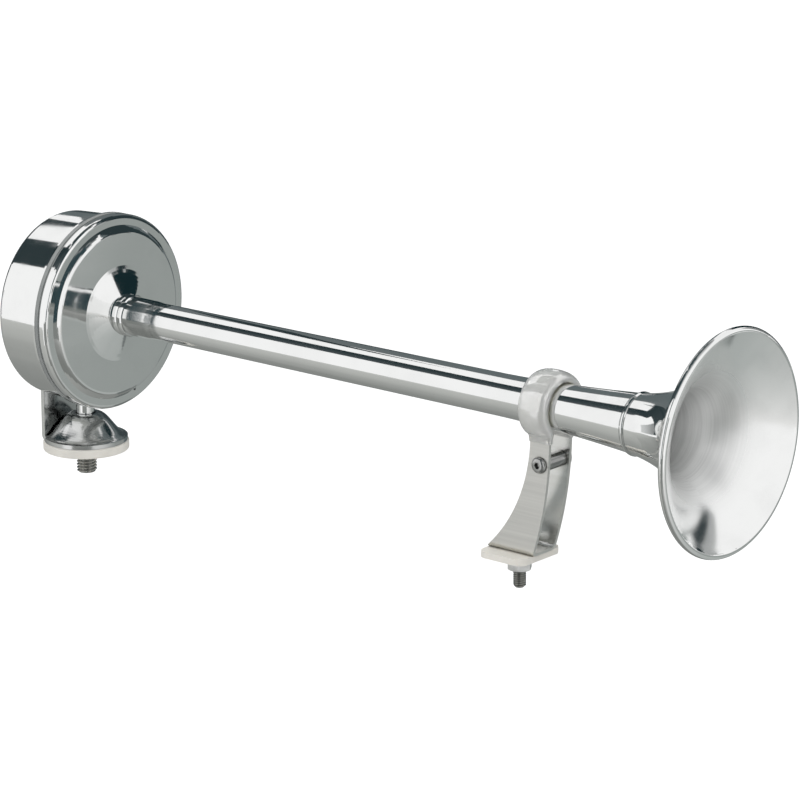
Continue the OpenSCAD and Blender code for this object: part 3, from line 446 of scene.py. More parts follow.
def stud_steel(name):
    """A bright turned shank above the deck, and a thread with painted shade in its roots."""
    g = Paint(name)
    marks = g.effect("handling", size=3.0)
    grain = g.effect("grain", grain_size=2600.0, cloud_size=300.0)
    shank = g.spread(g.parts(g.place)[2], -0.5 * MM, -0.3 * MM)
    unpainted = g.tint(shank, rgba(g.finish.thread), rgba(g.finish.steel))
    # Painted shade: nearly black within 0.6 mm of a neighbour, in the thread's roots
    return g.done({
        "Base Color": g.crevice_painted(unpainted, 0.6 * MM, 0.85, (0.06, 0.062, 0.055)), "Metallic": 1.0,
        "Roughness": g.plus(g.over(shank, 0.2, 0.07), g.times(marks["Smudge"], 0.06)),
        "Normal": g.bump(grain["Height"], 0.1)})


def nylon(name):
    """Off-white moulded pads, a little waxy."""
    g = Paint(name)
    grain = g.effect("grain", grain_size=1500.0, cloud_size=90.0)
    marks = g.effect("handling", size=2.0)
    return g.done({
        "Base Color": g.shade(grain["Cloud"], g.finish.nylon, 0.95, 1.03),
        "Roughness": g.over(marks["Smudge"], 0.42, 0.55),
        "Subsurface Weight": 0.15, "Subsurface Radius": (1.5, 1.4, 1.2), "Subsurface Scale": 1.0 * MM,
        "Normal": g.bump(grain["Height"], 0.25, depth=0.05 * MM)})


def clear_tubing(name):
    """Soft clear tubing, slightly milky, with a painted yellowish light where it lies close to metal."""
    g = Paint(name)
    grain = g.effect("grain", grain_size=700.0, cloud_size=160.0)
    marks = g.effect("handling", size=2.0)
    clear = g.shade(grain["Cloud"], g.finish.sleeve, 0.95, 1.05)
    # Painted light: a yellowish tint within 2 mm of a neighbour, where the tubing lies on the strap and the tube
    return g.done({
        "Base Color": g.crevice_painted(clear, 2.0 * MM, 0.7, (0.98, 0.92, 0.74)),
        "Roughness": g.over(marks["Smudge"], 0.07, 0.13),
        "IOR": 1.53, "Specular IOR Level": 0.9, "Transmission Weight": 0.25,
        "Subsurface Weight": 0.8, "Subsurface Radius": (1.0, 1.0, 1.0), "Subsurface Scale": 3.0 * MM,
        "Coat Weight": 1.0, "Coat Roughness": 0.05, "Coat IOR": 2.8,
        "Normal": g.bump(grain["Height"], 0.06)})


def rubber(name):
    """Grey moulded rubber of the gaskets."""
    g = Paint(name)
    grain = g.effect("grain", grain_size=2200.0, cloud_size=140.0)
    return g.done({
        "Base Color": g.tint(grain["Cloud"], (0.26, 0.275, 0.272, 1.0), (0.31, 0.325, 0.32, 1.0)),
        "Roughness": g.over(grain["Cloud"], 0.5, 0.65),
        "Normal": g.bump(grain["Height"], 0.3, depth=0.03 * MM)})


def inner_part(name, colour, metallic, rough):
    """Machined or moulded pieces inside the drum."""
    g = Paint(name)
    rings = g.effect("turning", fineness=700.0)
    grain = g.effect("grain")
    return g.done({
        "Base Color": g.shade(grain["Cloud"], colour, 0.85, 1.1), "Metallic": metallic,
        "Roughness": g.over(grain["Cloud"], rough, rough * 1.3),
        "Normal": g.bump(rings["Height"], 0.4, depth=0.03 * MM)})


def card_paint(name, corners, first, last):
    """A card's colours as light of its own, from its first edge to its last."""
    g = Paint(name)
    across = Vector(corners[3]) - Vector(corners[0])
    along = g.dot(g.vector("SUBTRACT", g.place, corners[0]), across / across.length_squared)
    grain = g.effect("grain", grain_size=90.0, cloud_size=5.0)
    level = g.spread(g.plus(along, g.over(grain["Cloud"], -0.03, 0.03)), 0.0, 1.0)
    return g.done({"Base Color": BLACK, "Specular IOR Level": 0.0, "Emission Strength": 1.0,
                   "Emission Color": g.tint(level, rgba(first), rgba(last))})


def floor_paint(name):
    """A pale floor that looks white from the camera."""
    g = Paint(name)
    grain = g.effect("grain", grain_size=60.0, cloud_size=3.0)
    path = g.add("ShaderNodeLightPath").outputs
    return g.done({"Base Color": g.tint(grain["Cloud"], rgba((0.80,) * 3), rgba((0.83,) * 3)), "Roughness": 0.9,
                   "Emission Color": g.tint(path["Is Camera Ray"], BLACK, rgba((0.5,) * 3)),
                   "Emission Strength": 1.0})


# The distance within which points of a mesh are joined, on a CAD node's bands and on a piece made here; the least
# angle of an edge that is broken; and the width of the front pad's broken edges
BAND_GAP, SAME_POINT = 0.001 * MM, 0.0001 * MM
BROKEN_ANGLE = math.radians(40)
PAD_EDGE = 0.5 * MM


def dress(node, material, break_edge=0.0, even=False):
    """Gives a CAD node its material and, where asked, broken edges or one even shading over all its bands."""
    thing = NODES[node]
    for slot in thing.material_slots:
        slot.material = material
    if even:
        thing.modifiers.new("Joined bands", "WELD").merge_threshold = BAND_GAP
        shade = thing.modifiers.new("Even shading", "WEIGHTED_NORMAL")
        shade.mode = "FACE_AREA_WITH_ANGLE"
        shade.keep_sharp = False
    if break_edge:
        edge = thing.modifiers.new("Broken edges", "BEVEL")
        edge.width = break_edge
        edge.segments = 2
        edge.limit_method = "ANGLE"
        edge.angle_limit = BROKEN_ANGLE
        edge.harden_normals = True


def new_object(name, mesh, material):
    """An object of one material, in the scene."""
    thing = bpy.data.objects.new(name, mesh)
    bpy.context.scene.collection.objects.link(thing)
    mesh.materials.append(material)
    return thing


def new_piece(name, mesh, material, body, node):
    """A piece made here: it rides on a body and stands for its CAD node."""
    thing = new_object(name, mesh, material)
    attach(thing, body)
    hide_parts(node)


def to_mesh(bm, name, sharp=35):
    """A mesh from a bmesh, smooth but for its sharp edges."""
    bmesh.ops.remove_doubles(bm, verts=bm.verts, dist=SAME_POINT)
    bmesh.ops.recalc_face_normals(bm, faces=bm.faces)
    mesh = bpy.data.meshes.new(name)
    for face in bm.faces:
        face.smooth = True
    for edge in bm.edges:
        edge.smooth = not (len(edge.link_faces) == 2 and edge.calc_face_angle() > math.radians(sharp))
    bm.to_mesh(mesh)
    bm.free()
    return mesh


def bridge(bm, rings):
    """Faces between rows of vertices that each go once round."""
    for low, high in zip(rings, rings[1:]):
        for i in range(len(low)):
            j = (i + 1) % len(low)
            bm.faces.new((low[i], low[j], high[j], high[i]))


def mixed(low, high, share):
    """A value between two."""
    return low + (high - low) * share


def clamped(value):
    """A value kept from 0 to 1."""
    return min(1.0, max(0.0, value))


SIDES = 72
CENTRE = (0.0, 0.0)


def upright_row(bm, centre, z, radius, sides=SIDES):
    """A row of vertices round an upright axis; radius is a function of the share of a turn."""
    row = []
    for i in range(sides):
        angle, r = math.tau * i / sides, radius(i / sides)
        row.append(bm.verts.new((centre[0] + r * math.cos(angle), centre[1] + r * math.sin(angle), z)))
    return row


def round_row(bm, centre, radius, z, sides=SIDES):
    """A round row."""
    return upright_row(bm, centre, z, lambda turn: radius, sides)


def hex_row(bm, centre, across, z, bevel):
    """A row on a hexagon; bevel is the radius of a cone that cuts its corners."""
    def radius(turn):
        return min(across / 2 / math.cos(math.tau * turn % (math.pi / 3) - math.pi / 6), bevel)
    return upright_row(bm, centre, z, radius)


# A thread: rows in one pitch; depth, in pitches; where the crest starts and how long the flank is, in half pitches;
# run-out, in pitches; and the chamfered end's length, first step and greatest depth below the root
THREAD_ROWS = 14
THREAD_DEPTH = 0.62
THREAD_CREST, THREAD_FLANK = 0.92, 0.80
THREAD_RUN_OUT = 1.2
TIP_LENGTH, TIP_STEP, TIP_ROOT = 0.85 * MM, 0.2 * MM, 0.35 * MM


def thread_depth(turns):
    """Depth of a rounded thread form at a place along its pitch, from 0 at the crest to 1 at the root."""
    ramp = abs(turns % 1.0 - 0.5) * 2.0
    return clamped((THREAD_CREST - ramp) / THREAD_FLANK)


def thread_rows(bm, centre, low, top, radius, pitch, sides=SIDES):
    """The rows of a helical thread from its chamfered end at low to its run-out at top, with faces between them."""
    depth = THREAD_DEPTH * pitch
    count = int((top - low) / (pitch / THREAD_ROWS))
    rows = []
    for k in range(count + 1):
        z = low + (top - low) * k / count
        cut = depth * clamped((top - z) / (THREAD_RUN_OUT * pitch))
        tip = low + TIP_LENGTH - z
        limit = max(radius - TIP_STEP - tip, radius - depth - TIP_ROOT) if tip > 0 else radius
        rows.append(upright_row(
            bm, centre, z, lambda turn: min(radius - cut * thread_depth(z / pitch - turn), limit), sides))
    bridge(bm, rows)
    return rows


# The hollow rear stud: where the thread ends and the shank starts, the shank's step, the bore, and the broken edges
STUD_TOP, SHANK_FOOT = -0.4 * MM, -0.35 * MM
SHANK_STEP = 0.5 * MM
BORE_R = 3.2 * MM
STUD_EDGE, BORE_EDGE = 0.4 * MM, 0.3 * MM
BORE_MOUTH, MOUTH_DEPTH = 0.35 * MM, 0.5 * MM


def hollow_stud_mesh():
    """The rear stud: plain shank above, thread below the pad and a bore for the wires."""
    low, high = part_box("conduit_stud")
    radius = (high[0] - low[0]) / 2
    shank = radius - SHANK_STEP
    bm = bmesh.new()
    rows = thread_rows(bm, CENTRE, low[2], STUD_TOP, radius, bpy.context.scene.horn_sizes.rear_pitch)
    profile = ((shank, SHANK_FOOT), (shank, high[2] - STUD_EDGE), (shank - STUD_EDGE, high[2]),
               (BORE_R + BORE_EDGE, high[2]), (BORE_R, high[2] - BORE_EDGE), (BORE_R, low[2] + MOUTH_DEPTH),
               (BORE_R + BORE_MOUTH, low[2]))
    bridge(bm, [rows[-1]] + [round_row(bm, CENTRE, r, z) for r, z in profile] + [rows[0]])
    return to_mesh(bm, "hollow_stud")


# Nuts and heads: the chamfer's rows and angle, the round face that it leaves, as a share of the width, the broken
# edges of holes and heads, the radii of the nuts' holes, how near to the width across flats a side counts as narrow,
# and the angle of a sharp edge
HEX_ROWS = 5
HEX_CHAMFER = math.radians(30)
HEX_FACE = 0.97
HOLE_EDGE, HEAD_EDGE = 0.35 * MM, 0.1 * MM
DECK_HOLE, CORE_HOLE, SCREW_HOLE = 2.96 * MM, 3.96 * MM, 2.01 * MM
NARROW_PLAY = 0.1 * MM
NUT_SHARP = 25


def chamfered_hex(bm, centre, across, low, high, inner=0.0):
    """A nut with a hole of the inner radius and chamfers on both sides, or a bolt's head with one on top."""
    corner, face = across / math.sqrt(3), across / 2 * HEX_FACE
    drop = (corner - face) * math.tan(HEX_CHAMFER)
    shares = [k / HEX_ROWS for k in range(HEX_ROWS + 1)]
    if inner:
        rows = [hex_row(bm, centre, across, low + drop * t, mixed(face, corner, t)) for t in shares]
    else:
        rows = [hex_row(bm, centre, across, low + HEAD_EDGE * t, corner) for t in shares]
    rows += [hex_row(bm, centre, across, high - drop * (1 - t), mixed(corner, face, t)) for t in shares]
    bridge(bm, rows)
    if inner:
        profile = ((inner + HOLE_EDGE, high), (inner, high - HOLE_EDGE), (inner, low + HOLE_EDGE),
                   (inner + HOLE_EDGE, low))
        bridge(bm, [rows[-1]] + [round_row(bm, centre, r, z) for r, z in profile] + [rows[0]])
    else:
        bm.faces.new(rows[-1])
        bm.faces.new(rows[0][::-1])


def nut_mesh(node, inner, axis):
    """A chamfered nut about an axis, in the place of its CAD node."""
    low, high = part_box(node)
    size = Vector(high) - Vector(low)
    along = "XYZ".index(axis)
    across = min(size[i] for i in range(3) if i != along)
    bm = bmesh.new()
    chamfered_hex(bm, CENTRE, across, -size[along] / 2, size[along] / 2, inner)
    # Corners lie on the local X axis, so a nut that is narrow there is turned by half a side
    narrow = (size.z if axis == "X" else size.x) < across + NARROW_PLAY
    spin = Matrix.Rotation(math.pi / 6 if narrow else 0.0, 4, "Z")
    turn = {"X": Matrix.Rotation(math.pi / 2, 4, "Y"), "Y": Matrix.Rotation(-math.pi / 2, 4, "X"),
            "Z": Matrix.Identity(4)}[axis]
    bmesh.ops.transform(bm, matrix=Matrix.Translation(middle(node)) @ turn @ spin, verts=bm.verts)
    return to_mesh(bm, node, NUT_SHARP)


# The front bolt: radius, head, where the thread ends and the shank starts, the shank's step, the vertices in a row,
# and the angle of a sharp edge
BOLT_R = 2.95 * MM
BOLT_HEAD = 4.0 * MM
BOLT_TOP, BOLT_SHANK_FOOT = -0.5 * MM, -0.4 * MM
BOLT_STEP = 0.2 * MM
BOLT_SIDES = 60
BOLT_SHARP = 30


def front_bolt_mesh():
    """The front bolt: hexagon head between the clip's legs and a fine thread below."""
    low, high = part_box("mount_bolt")
    centre = ((low[0] + high[0]) / 2, (low[1] + high[1]) / 2)
    head = high[2] - BOLT_HEAD
    bm = bmesh.new()
    pitch = bpy.context.scene.horn_sizes.front_pitch
    rows = thread_rows(bm, centre, low[2], BOLT_TOP, BOLT_R, pitch, BOLT_SIDES)
    bm.faces.new(rows[0][::-1])
    bridge(bm, [rows[-1]] + [round_row(bm, centre, BOLT_R - BOLT_STEP, z, BOLT_SIDES)
                             for z in (BOLT_SHANK_FOOT, head + BOLT_STEP)])
    chamfered_hex(bm, centre, high[1] - low[1], head, high[2])
    return to_mesh(bm, "front_bolt", BOLT_SHARP)


# The clamp screw: its head's rise, straight wall, flat top and edge, its shank and tip, its socket, whose mouth is
# wider by a factor, and the rows of its dome
SCREW_RISE, SCREW_WALL, SCREW_FLAT, SCREW_EDGE = 2.2 * MM, 0.45 * MM, 1.95 * MM, 0.15 * MM
SCREW_SHANK, SCREW_TIP = 1.98 * MM, 0.4 * MM
SOCKET_ACROSS, SOCKET_DEPTH, SOCKET_EDGE, SOCKET_MOUTH = 2.5 * MM, 1.3 * MM, 0.12 * MM, 1.1
DOME_ROWS = 8


def button_screw_mesh():
    """The clamp screw: domed head with a hexagon socket, plain shank, chamfered tip."""
    low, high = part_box("clamp_screw")
    radius = (high[0] - low[0]) / 2
    end = SCREW_RISE - (high[1] - low[1])
    profile = [(SCREW_SHANK - SCREW_TIP, end), (SCREW_SHANK, end + SCREW_TIP), (SCREW_SHANK, 0.0),
               (radius - SCREW_EDGE, 0.0), (radius, SCREW_EDGE), (radius, SCREW_WALL)]
    for k in range(1, DOME_ROWS + 1):
        turn = math.pi / 2 * k / DOME_ROWS
        profile.append((mixed(SCREW_FLAT, radius, math.cos(turn)), mixed(SCREW_WALL, SCREW_RISE, math.sin(turn))))
    bm = bmesh.new()
    rows = [round_row(bm, CENTRE, r, z) for r, z in profile]
    rows += [hex_row(bm, CENTRE, across, SCREW_RISE - depth, SOCKET_ACROSS) for across, depth in (
        (SOCKET_ACROSS * SOCKET_MOUTH, 0.0), (SOCKET_ACROSS, SOCKET_EDGE), (SOCKET_ACROSS, SOCKET_DEPTH))]
    bridge(bm, rows)
    bm.faces.new(rows[0][::-1])
    bm.faces.new(rows[-1])
    place = Matrix.Translation((SCREW.x, low[1] + SCREW_RISE, SCREW.z)) @ Matrix.Rotation(math.pi / 2, 4, "X")
    bmesh.ops.transform(bm, matrix=place, verts=bm.verts)
    return to_mesh(bm, "button_screw", BOLT_SHARP)


# The strap inside the soft sleeve: thickness, half its width, its legs' distance from the middle, and its waists
STRAP_T = 1.5 * MM
STRAP_HALF_W = 5.2 * MM
LEG_Y = 7.5 * MM
WAIST_R = 4.0 * MM
# The sleeve: play on the strap's faces and edges, how far above its node's foot it is cut, and the rows of its path
FACE_PLAY, EDGE_PLAY = 0.05 * MM, 0.06 * MM
SLEEVE_CUT = 1.4 * MM
LEG_ROWS, WAIST_ROWS, LOOP_ROWS = 4, 8, 40
# Its walls outside, towards the tube and at the sides, as shares of the full size on the legs and on the loop; its
# roundness there, from a box to an ellipse; how far it sits back on the loop; and the rows in which it swells out
WALL_OUT, WALL_IN, WALL_SIDE = (0.42, 1.44), (0.42, 1.06), (0.30, 1.22)
SECTION_POWER = (5.0, 2.2)
TUBE_SIDE_POWER = 9.0
SET_BACK = 0.4 * MM
SWELL_ROWS = 16.0
# The puckers at the waists: their row, their spread in rows and their depth; then the vertices of a section
PUCKER_ROW, PUCKER_SPREAD, PUCKER_DEPTH = 8.5, 2.2, 0.04
SECTION_SIDES = 40
SLEEVE_SHARP = 60


def omega_path(wall):
    """Middle line of the strap's loop, waists and leg tops: points across the horn and their outward normals."""
    low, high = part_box("clip_sleeve")
    loop = (high[1] - low[1]) / 2 - (STRAP_T / 2 + wall)
    waist_y = LEG_Y + WAIST_R
    waist_z = math.sqrt((loop + WAIST_R) ** 2 - waist_y ** 2)
    turn = math.atan2(waist_y, waist_z)
    end = AXIS_Z - low[2] - SLEEVE_CUT
    side = [((LEG_Y, -end + (end - waist_z) * k / LEG_ROWS), (1.0, 0.0)) for k in range(LEG_ROWS + 1)]
    for k in range(1, WAIST_ROWS + 1):
        angle = math.pi - (math.pi / 2 - turn) * k / WAIST_ROWS
        c, s = math.cos(angle), math.sin(angle)
        side.append(((waist_y + WAIST_R * c, -waist_z + WAIST_R * s), (-c, -s)))
    arc = []
    for k in range(1, LOOP_ROWS):
        angle = -math.pi / 2 + turn + (math.tau - 2 * turn) * k / LOOP_ROWS
        c, s = math.cos(angle), math.sin(angle)
        arc.append(((loop * c, loop * s), (c, s)))
    other = [((-p[0], p[1]), (-n[0], n[1])) for p, n in reversed(side)]
    return side + arc + other


def crowned_section(outer, inner, half_w, power):
    """A round-edged section, flatter towards the tube; power is 2 for an ellipse and more for a box."""
    row = []
    for k in range(SECTION_SIDES):
        angle = math.tau * k / SECTION_SIDES - math.pi / 4
        c, s = math.cos(angle), math.sin(angle)
        reach, bend = (outer, power) if c > 0 else (inner, max(power, TUBE_SIDE_POWER))
        row.append((math.copysign(abs(c) ** (2.0 / bend) * reach, c),
                    math.copysign(abs(s) ** (2.0 / power) * half_w, s)))
    return row


def cut_end(bm, ring, hole):
    """The cut face between a ring and a four-cornered hole, a quarter of the ring to each corner pair."""
    quarter = len(ring) // 4
    half = quarter // 2
    for side in range(4):
        row = [ring[(side * quarter + k) % len(ring)] for k in range(quarter + 1)]
        a, b = hole[side], hole[(side + 1) % 4]
        for k in range(half):
            bm.faces.new((row[k], row[k + 1], a))
        bm.faces.new((row[half], b, a))
        for k in range(half, quarter):
            bm.faces.new((row[k], row[k + 1], b))


def soft_sleeve_mesh():
    """Soft tubing pulled over the strap: outside, inside and cut ends, with puckers at the waists."""
    sizes = bpy.context.scene.horn_sizes
    wall = sizes.sleeve_wall + FACE_PLAY
    slot_t, slot_w = STRAP_T / 2 + FACE_PLAY, STRAP_HALF_W + EDGE_PLAY
    slot = ((slot_t, -slot_w), (slot_t, slot_w), (-slot_t, slot_w), (-slot_t, -slot_w))
    path = omega_path(wall)
    bm = bmesh.new()
    rows_out, rows_in = [], []
    for index, (point, normal) in enumerate(path):
        def row(section, back=0.0, gain=1.0):
            """A section in place: thickness along the path's normal, width along the horn."""
            return [bm.verts.new((CLIP_X + w - back, point[0] + normal[0] * t * gain,
                                  AXIS_Z + point[1] + normal[1] * t * gain)) for t, w in section]
        near_end = min(index, len(path) - 1 - index)
        # The tubing is drawn thin over the legs and swells out to its full size on the loop
        full = min(1.0, near_end / SWELL_ROWS)
        full = full * full * (3.0 - 2.0 * full)
        outer, inner = (STRAP_T / 2 + wall * mixed(*share, full) for share in (WALL_OUT, WALL_IN))
        half_w = STRAP_HALF_W + sizes.sleeve_side * mixed(*WALL_SIDE, full)
        pucker = 1.0 - PUCKER_DEPTH * math.exp(-((near_end - PUCKER_ROW) / PUCKER_SPREAD) ** 2)
        section = crowned_section(outer, inner, half_w, mixed(*SECTION_POWER, full))
        rows_out.append(row(section, SET_BACK * full, pucker))
        rows_in.append(row(slot))
    bridge(bm, rows_out)
    bridge(bm, rows_in)
    for end in (0, -1):
        cut_end(bm, rows_out[end], rows_in[end])
    return to_mesh(bm, "soft_sleeve", SLEEVE_SHARP)


# The diaphragm: its sectors, the rings and steps of each, and its hole
DISC_SECTORS = 6
DISC_RINGS = 28
DISC_STEPS = 10
DISC_HOLE_R = 3.0 * MM


def disc_sector_mesh(name, back, front, rim, first, last):
    """A closed sector of a thin disc round the horn's axis, in narrow rings."""
    bm = bmesh.new()
    angles = [first + (last - first) * step / DISC_STEPS for step in range(DISC_STEPS + 1)]
    rows = []
    for ring in range(DISC_RINGS + 1):
        radius = DISC_HOLE_R + (rim - DISC_HOLE_R) * ring / DISC_RINGS
        spots = [(radius * math.cos(angle), AXIS_Z + radius * math.sin(angle)) for angle in angles]
        rows.append([bm.verts.new((back, y, z)) for y, z in spots]
                    + [bm.verts.new((front, y, z)) for y, z in reversed(spots)])
    bridge(bm, rows)
    for row in (rows[0], rows[-1]):
        for i in range(DISC_STEPS):
            bm.faces.new((row[i], row[i + 1], row[-2 - i], row[-1 - i]))
    return to_mesh(bm, name)


# The stage: the lamp's place, aim and size, the floor's middle and half its width, and the camera's sensor and reach
KEY_PLACE, KEY_AIM, KEY_SIZE = (0.15, -0.55, 1.5), (0.2, 0.0, 0.07), 1.2
FLOOR_X, FLOOR_HALF = 0.2, 8.0
SENSOR, CLIP_END = 36.0, 50.0
# Colours that several cards share
INK, SLATE, COAL = (0.008, 0.022, 0.026), (0.03, 0.044, 0.048), (0.05, 0.065, 0.07)
SMOKE, MIST = (0.125, 0.15, 0.155), (0.315, 0.34, 0.33)
BENCH_NEAR, BENCH_FAR = (0.5, 0.51, 0.49), (0.25, 0.26, 0.25)


def rect(left, right, low, high):
    """Corners of an upright rectangle whose first edge is the lower one."""
    return (left, low), (right, low), (right, high), (left, high)


# Cards that only polished metal shows, hidden from the camera: name, the axis that the card is square to, its place
# on that axis, its corners, and the colours of the edges between the first two and the last two corners
CARDS = (
    ("behind", "Y", 0.15, ((0.245, 0.17), (0.245, 0.37), (-0.28, 0.38), (-0.16, 0.17)), SMOKE, (0.145, 0.165, 0.17)),
    ("behind_far", "Y", 0.3, rect(-0.45, 0.06, -0.1, 0.27), SMOKE),
    ("above", "Z", 0.45, ((-0.375, -0.33), (0.27, -0.36), (0.27, -0.115), (-0.375, -0.06)),
     (0.06, 0.075, 0.08), (0.018, 0.032, 0.036)),
    ("middle", "Z", 0.45, rect(0.0, 0.27, -0.08, 0.16), (0.05, 0.064, 0.066)),
    ("end", "Z", 0.45, rect(-0.8, -0.375, -0.28, 0.0), SLATE),
    ("end_far", "Z", 0.45, rect(-0.8, -0.48, 0.0, 0.16), SLATE),
    ("far_side", "X", -0.6, ((-0.12, -0.05), (-0.12, 0.2), (-0.44, 0.2), (-0.44, -0.05)),
     (0.3, 0.31, 0.31), (0.62, 0.63, 0.63)),
    ("far", "X", -0.6, rect(-0.12, 0.4, -0.05, 0.57), COAL, SLATE),
    ("bench", "Z", -0.3, rect(-1.3, 0.2, -0.66, 0.3), BENCH_NEAR, BENCH_FAR),
    ("bench_near", "Z", -0.3, ((-1.3, -1.27), (-0.6, -1.27), (-0.15, -0.66), (-1.3, -0.66)),
     (0.57, 0.58, 0.56), BENCH_NEAR),
    ("bench_left", "Z", -0.298, ((-1.8, -1.02), (-1.15, -1.02), (0.17, 0.3), (-1.8, 0.3)),
     (0.52, 0.53, 0.51), BENCH_FAR),
    ("bench_mid", "Z", -0.3, ((0.2, -0.66), (0.2, 0.3), (0.5, 0.0), (1.16, -0.66)),
     (0.2, 0.21, 0.2), (0.62, 0.62, 0.61)),
    ("bench_front", "Z", -0.3, ((0.1, -3.0), (0.1, -0.66), (1.2, -0.66), (3.5, -3.0)),
     (0.24, 0.25, 0.24), (0.4, 0.41, 0.4)),
    ("deep", "Z", -0.3, rect(-1.3, 0.05, 0.3, 2.3), (0.22, 0.23, 0.22), (0.3, 0.315, 0.31)),
    ("deep_right", "Z", -0.3, ((0.05, 0.3), (0.2, 0.3), (2.2, 2.3), (0.05, 2.3)), (0.305, 0.325, 0.32), MIST),
    ("right", "Z", -0.3, ((0.2, 0.3), (2.2, 2.3), (3.2, 1.3), (1.2, -0.7)), MIST, (0.84, 0.84, 0.83)),
    ("right_near", "Z", -0.298, ((0.2, 0.3), (0.6, 0.7), (1.6, -0.3), (1.2, -0.7)),
     (0.405, 0.43, 0.42), (0.86, 0.86, 0.85)),
    ("deep_near", "Z", -0.298, ((0.05, 0.3), (0.2, 0.3), (0.6, 0.7), (0.05, 0.8)), (0.15, 0.165, 0.162)),
    ("over_bell", "Z", 0.45, ((0.27, -0.36), (0.27, 0.16), (0.7, 0.16), (0.7, -0.36)),
     (0.2, 0.215, 0.215), (0.7, 0.7, 0.7)),
    ("post", "Y", 0.45, ((0.43, 0.045), (0.505, 0.045), (0.55, 0.3), (0.49, 0.3)),
     (0.006, 0.018, 0.022), (0.02, 0.034, 0.038)),
    ("post_side", "Y", 0.46, ((0.42, 0.03), (0.6, 0.03), (0.62, 0.32), (0.44, 0.32)), (0.42, 0.43, 0.43)),
    ("back_foot", "Y", 0.45, rect(0.12, 0.42, -0.3, 0.075), MIST),
    ("back", "Y", 0.45, rect(0.12, 0.42, 0.075, 0.5), INK),
    ("cone", "Y", 0.2, ((0.16, 0.105), (0.285, 0.105), (0.335, 0.215), (0.16, 0.215)), INK),
    ("step", "Y", 0.045, ((0.026, 0.1), (0.084, 0.122), (0.084, 0.27), (0.026, 0.27)), (0.026, 0.04, 0.044)),
    ("low", "Y", 0.29, rect(-0.45, -0.02, 0.0, 0.15), COAL),
    ("back_left", "Y", 0.45, rect(-0.55, 0.12, 0.115, 0.19), SLATE, (0.045, 0.06, 0.064)),
    ("back_low", "Y", 0.45, rect(-0.55, 0.12, -0.3, 0.115), (0.3, 0.32, 0.315)),
)
# Strips in front, which the throat shows by way of the cover's face: their distance from the throat, their colour and
# the angles about the axis where they join; and the angles to the axis between which they all lie
STRIPS = ((0.95, (0.22, 0.235, 0.225), (-60, -35, -10, 10, 30)),
          (0.48, (0.035, 0.06, 0.068), (-10, 10, 30, 54, 78, 104)))
STRIP_INNER, STRIP_OUTER = 36, 53


def flat_cards():
    """Each card's name, its corners in space and its two colours."""
    for name, axis, place, corners, *colours in CARDS:
        at = "XYZ".index(axis)
        spots = [corner[:at] + (place,) + corner[at:] for corner in corners]
        yield f"card_{name}", spots, colours[0], colours[-1]


def strip_corner(reach, lean, turn):
    """A point at an angle to the horn's axis and an angle about it, in degrees, at a distance from the throat."""
    lean, turn = math.radians(lean), math.radians(turn)
    across = reach * math.sin(lean)
    return (reach * math.cos(lean), -across * math.cos(turn), AXIS_Z + across * math.sin(turn))


def strip_cards():
    """The same for the strips, from one joint to the next."""
    spans = [(reach, colour, span) for reach, colour, turns in STRIPS for span in zip(turns, turns[1:])]
    for index, (reach, colour, (first, last)) in enumerate(spans):
        spots = [strip_corner(reach, lean, turn) for lean, turn in (
            (STRIP_INNER, first), (STRIP_INNER, last), (STRIP_OUTER, last), (STRIP_OUTER, first))]
        yield f"card_front_{index}", spots, colour, colour


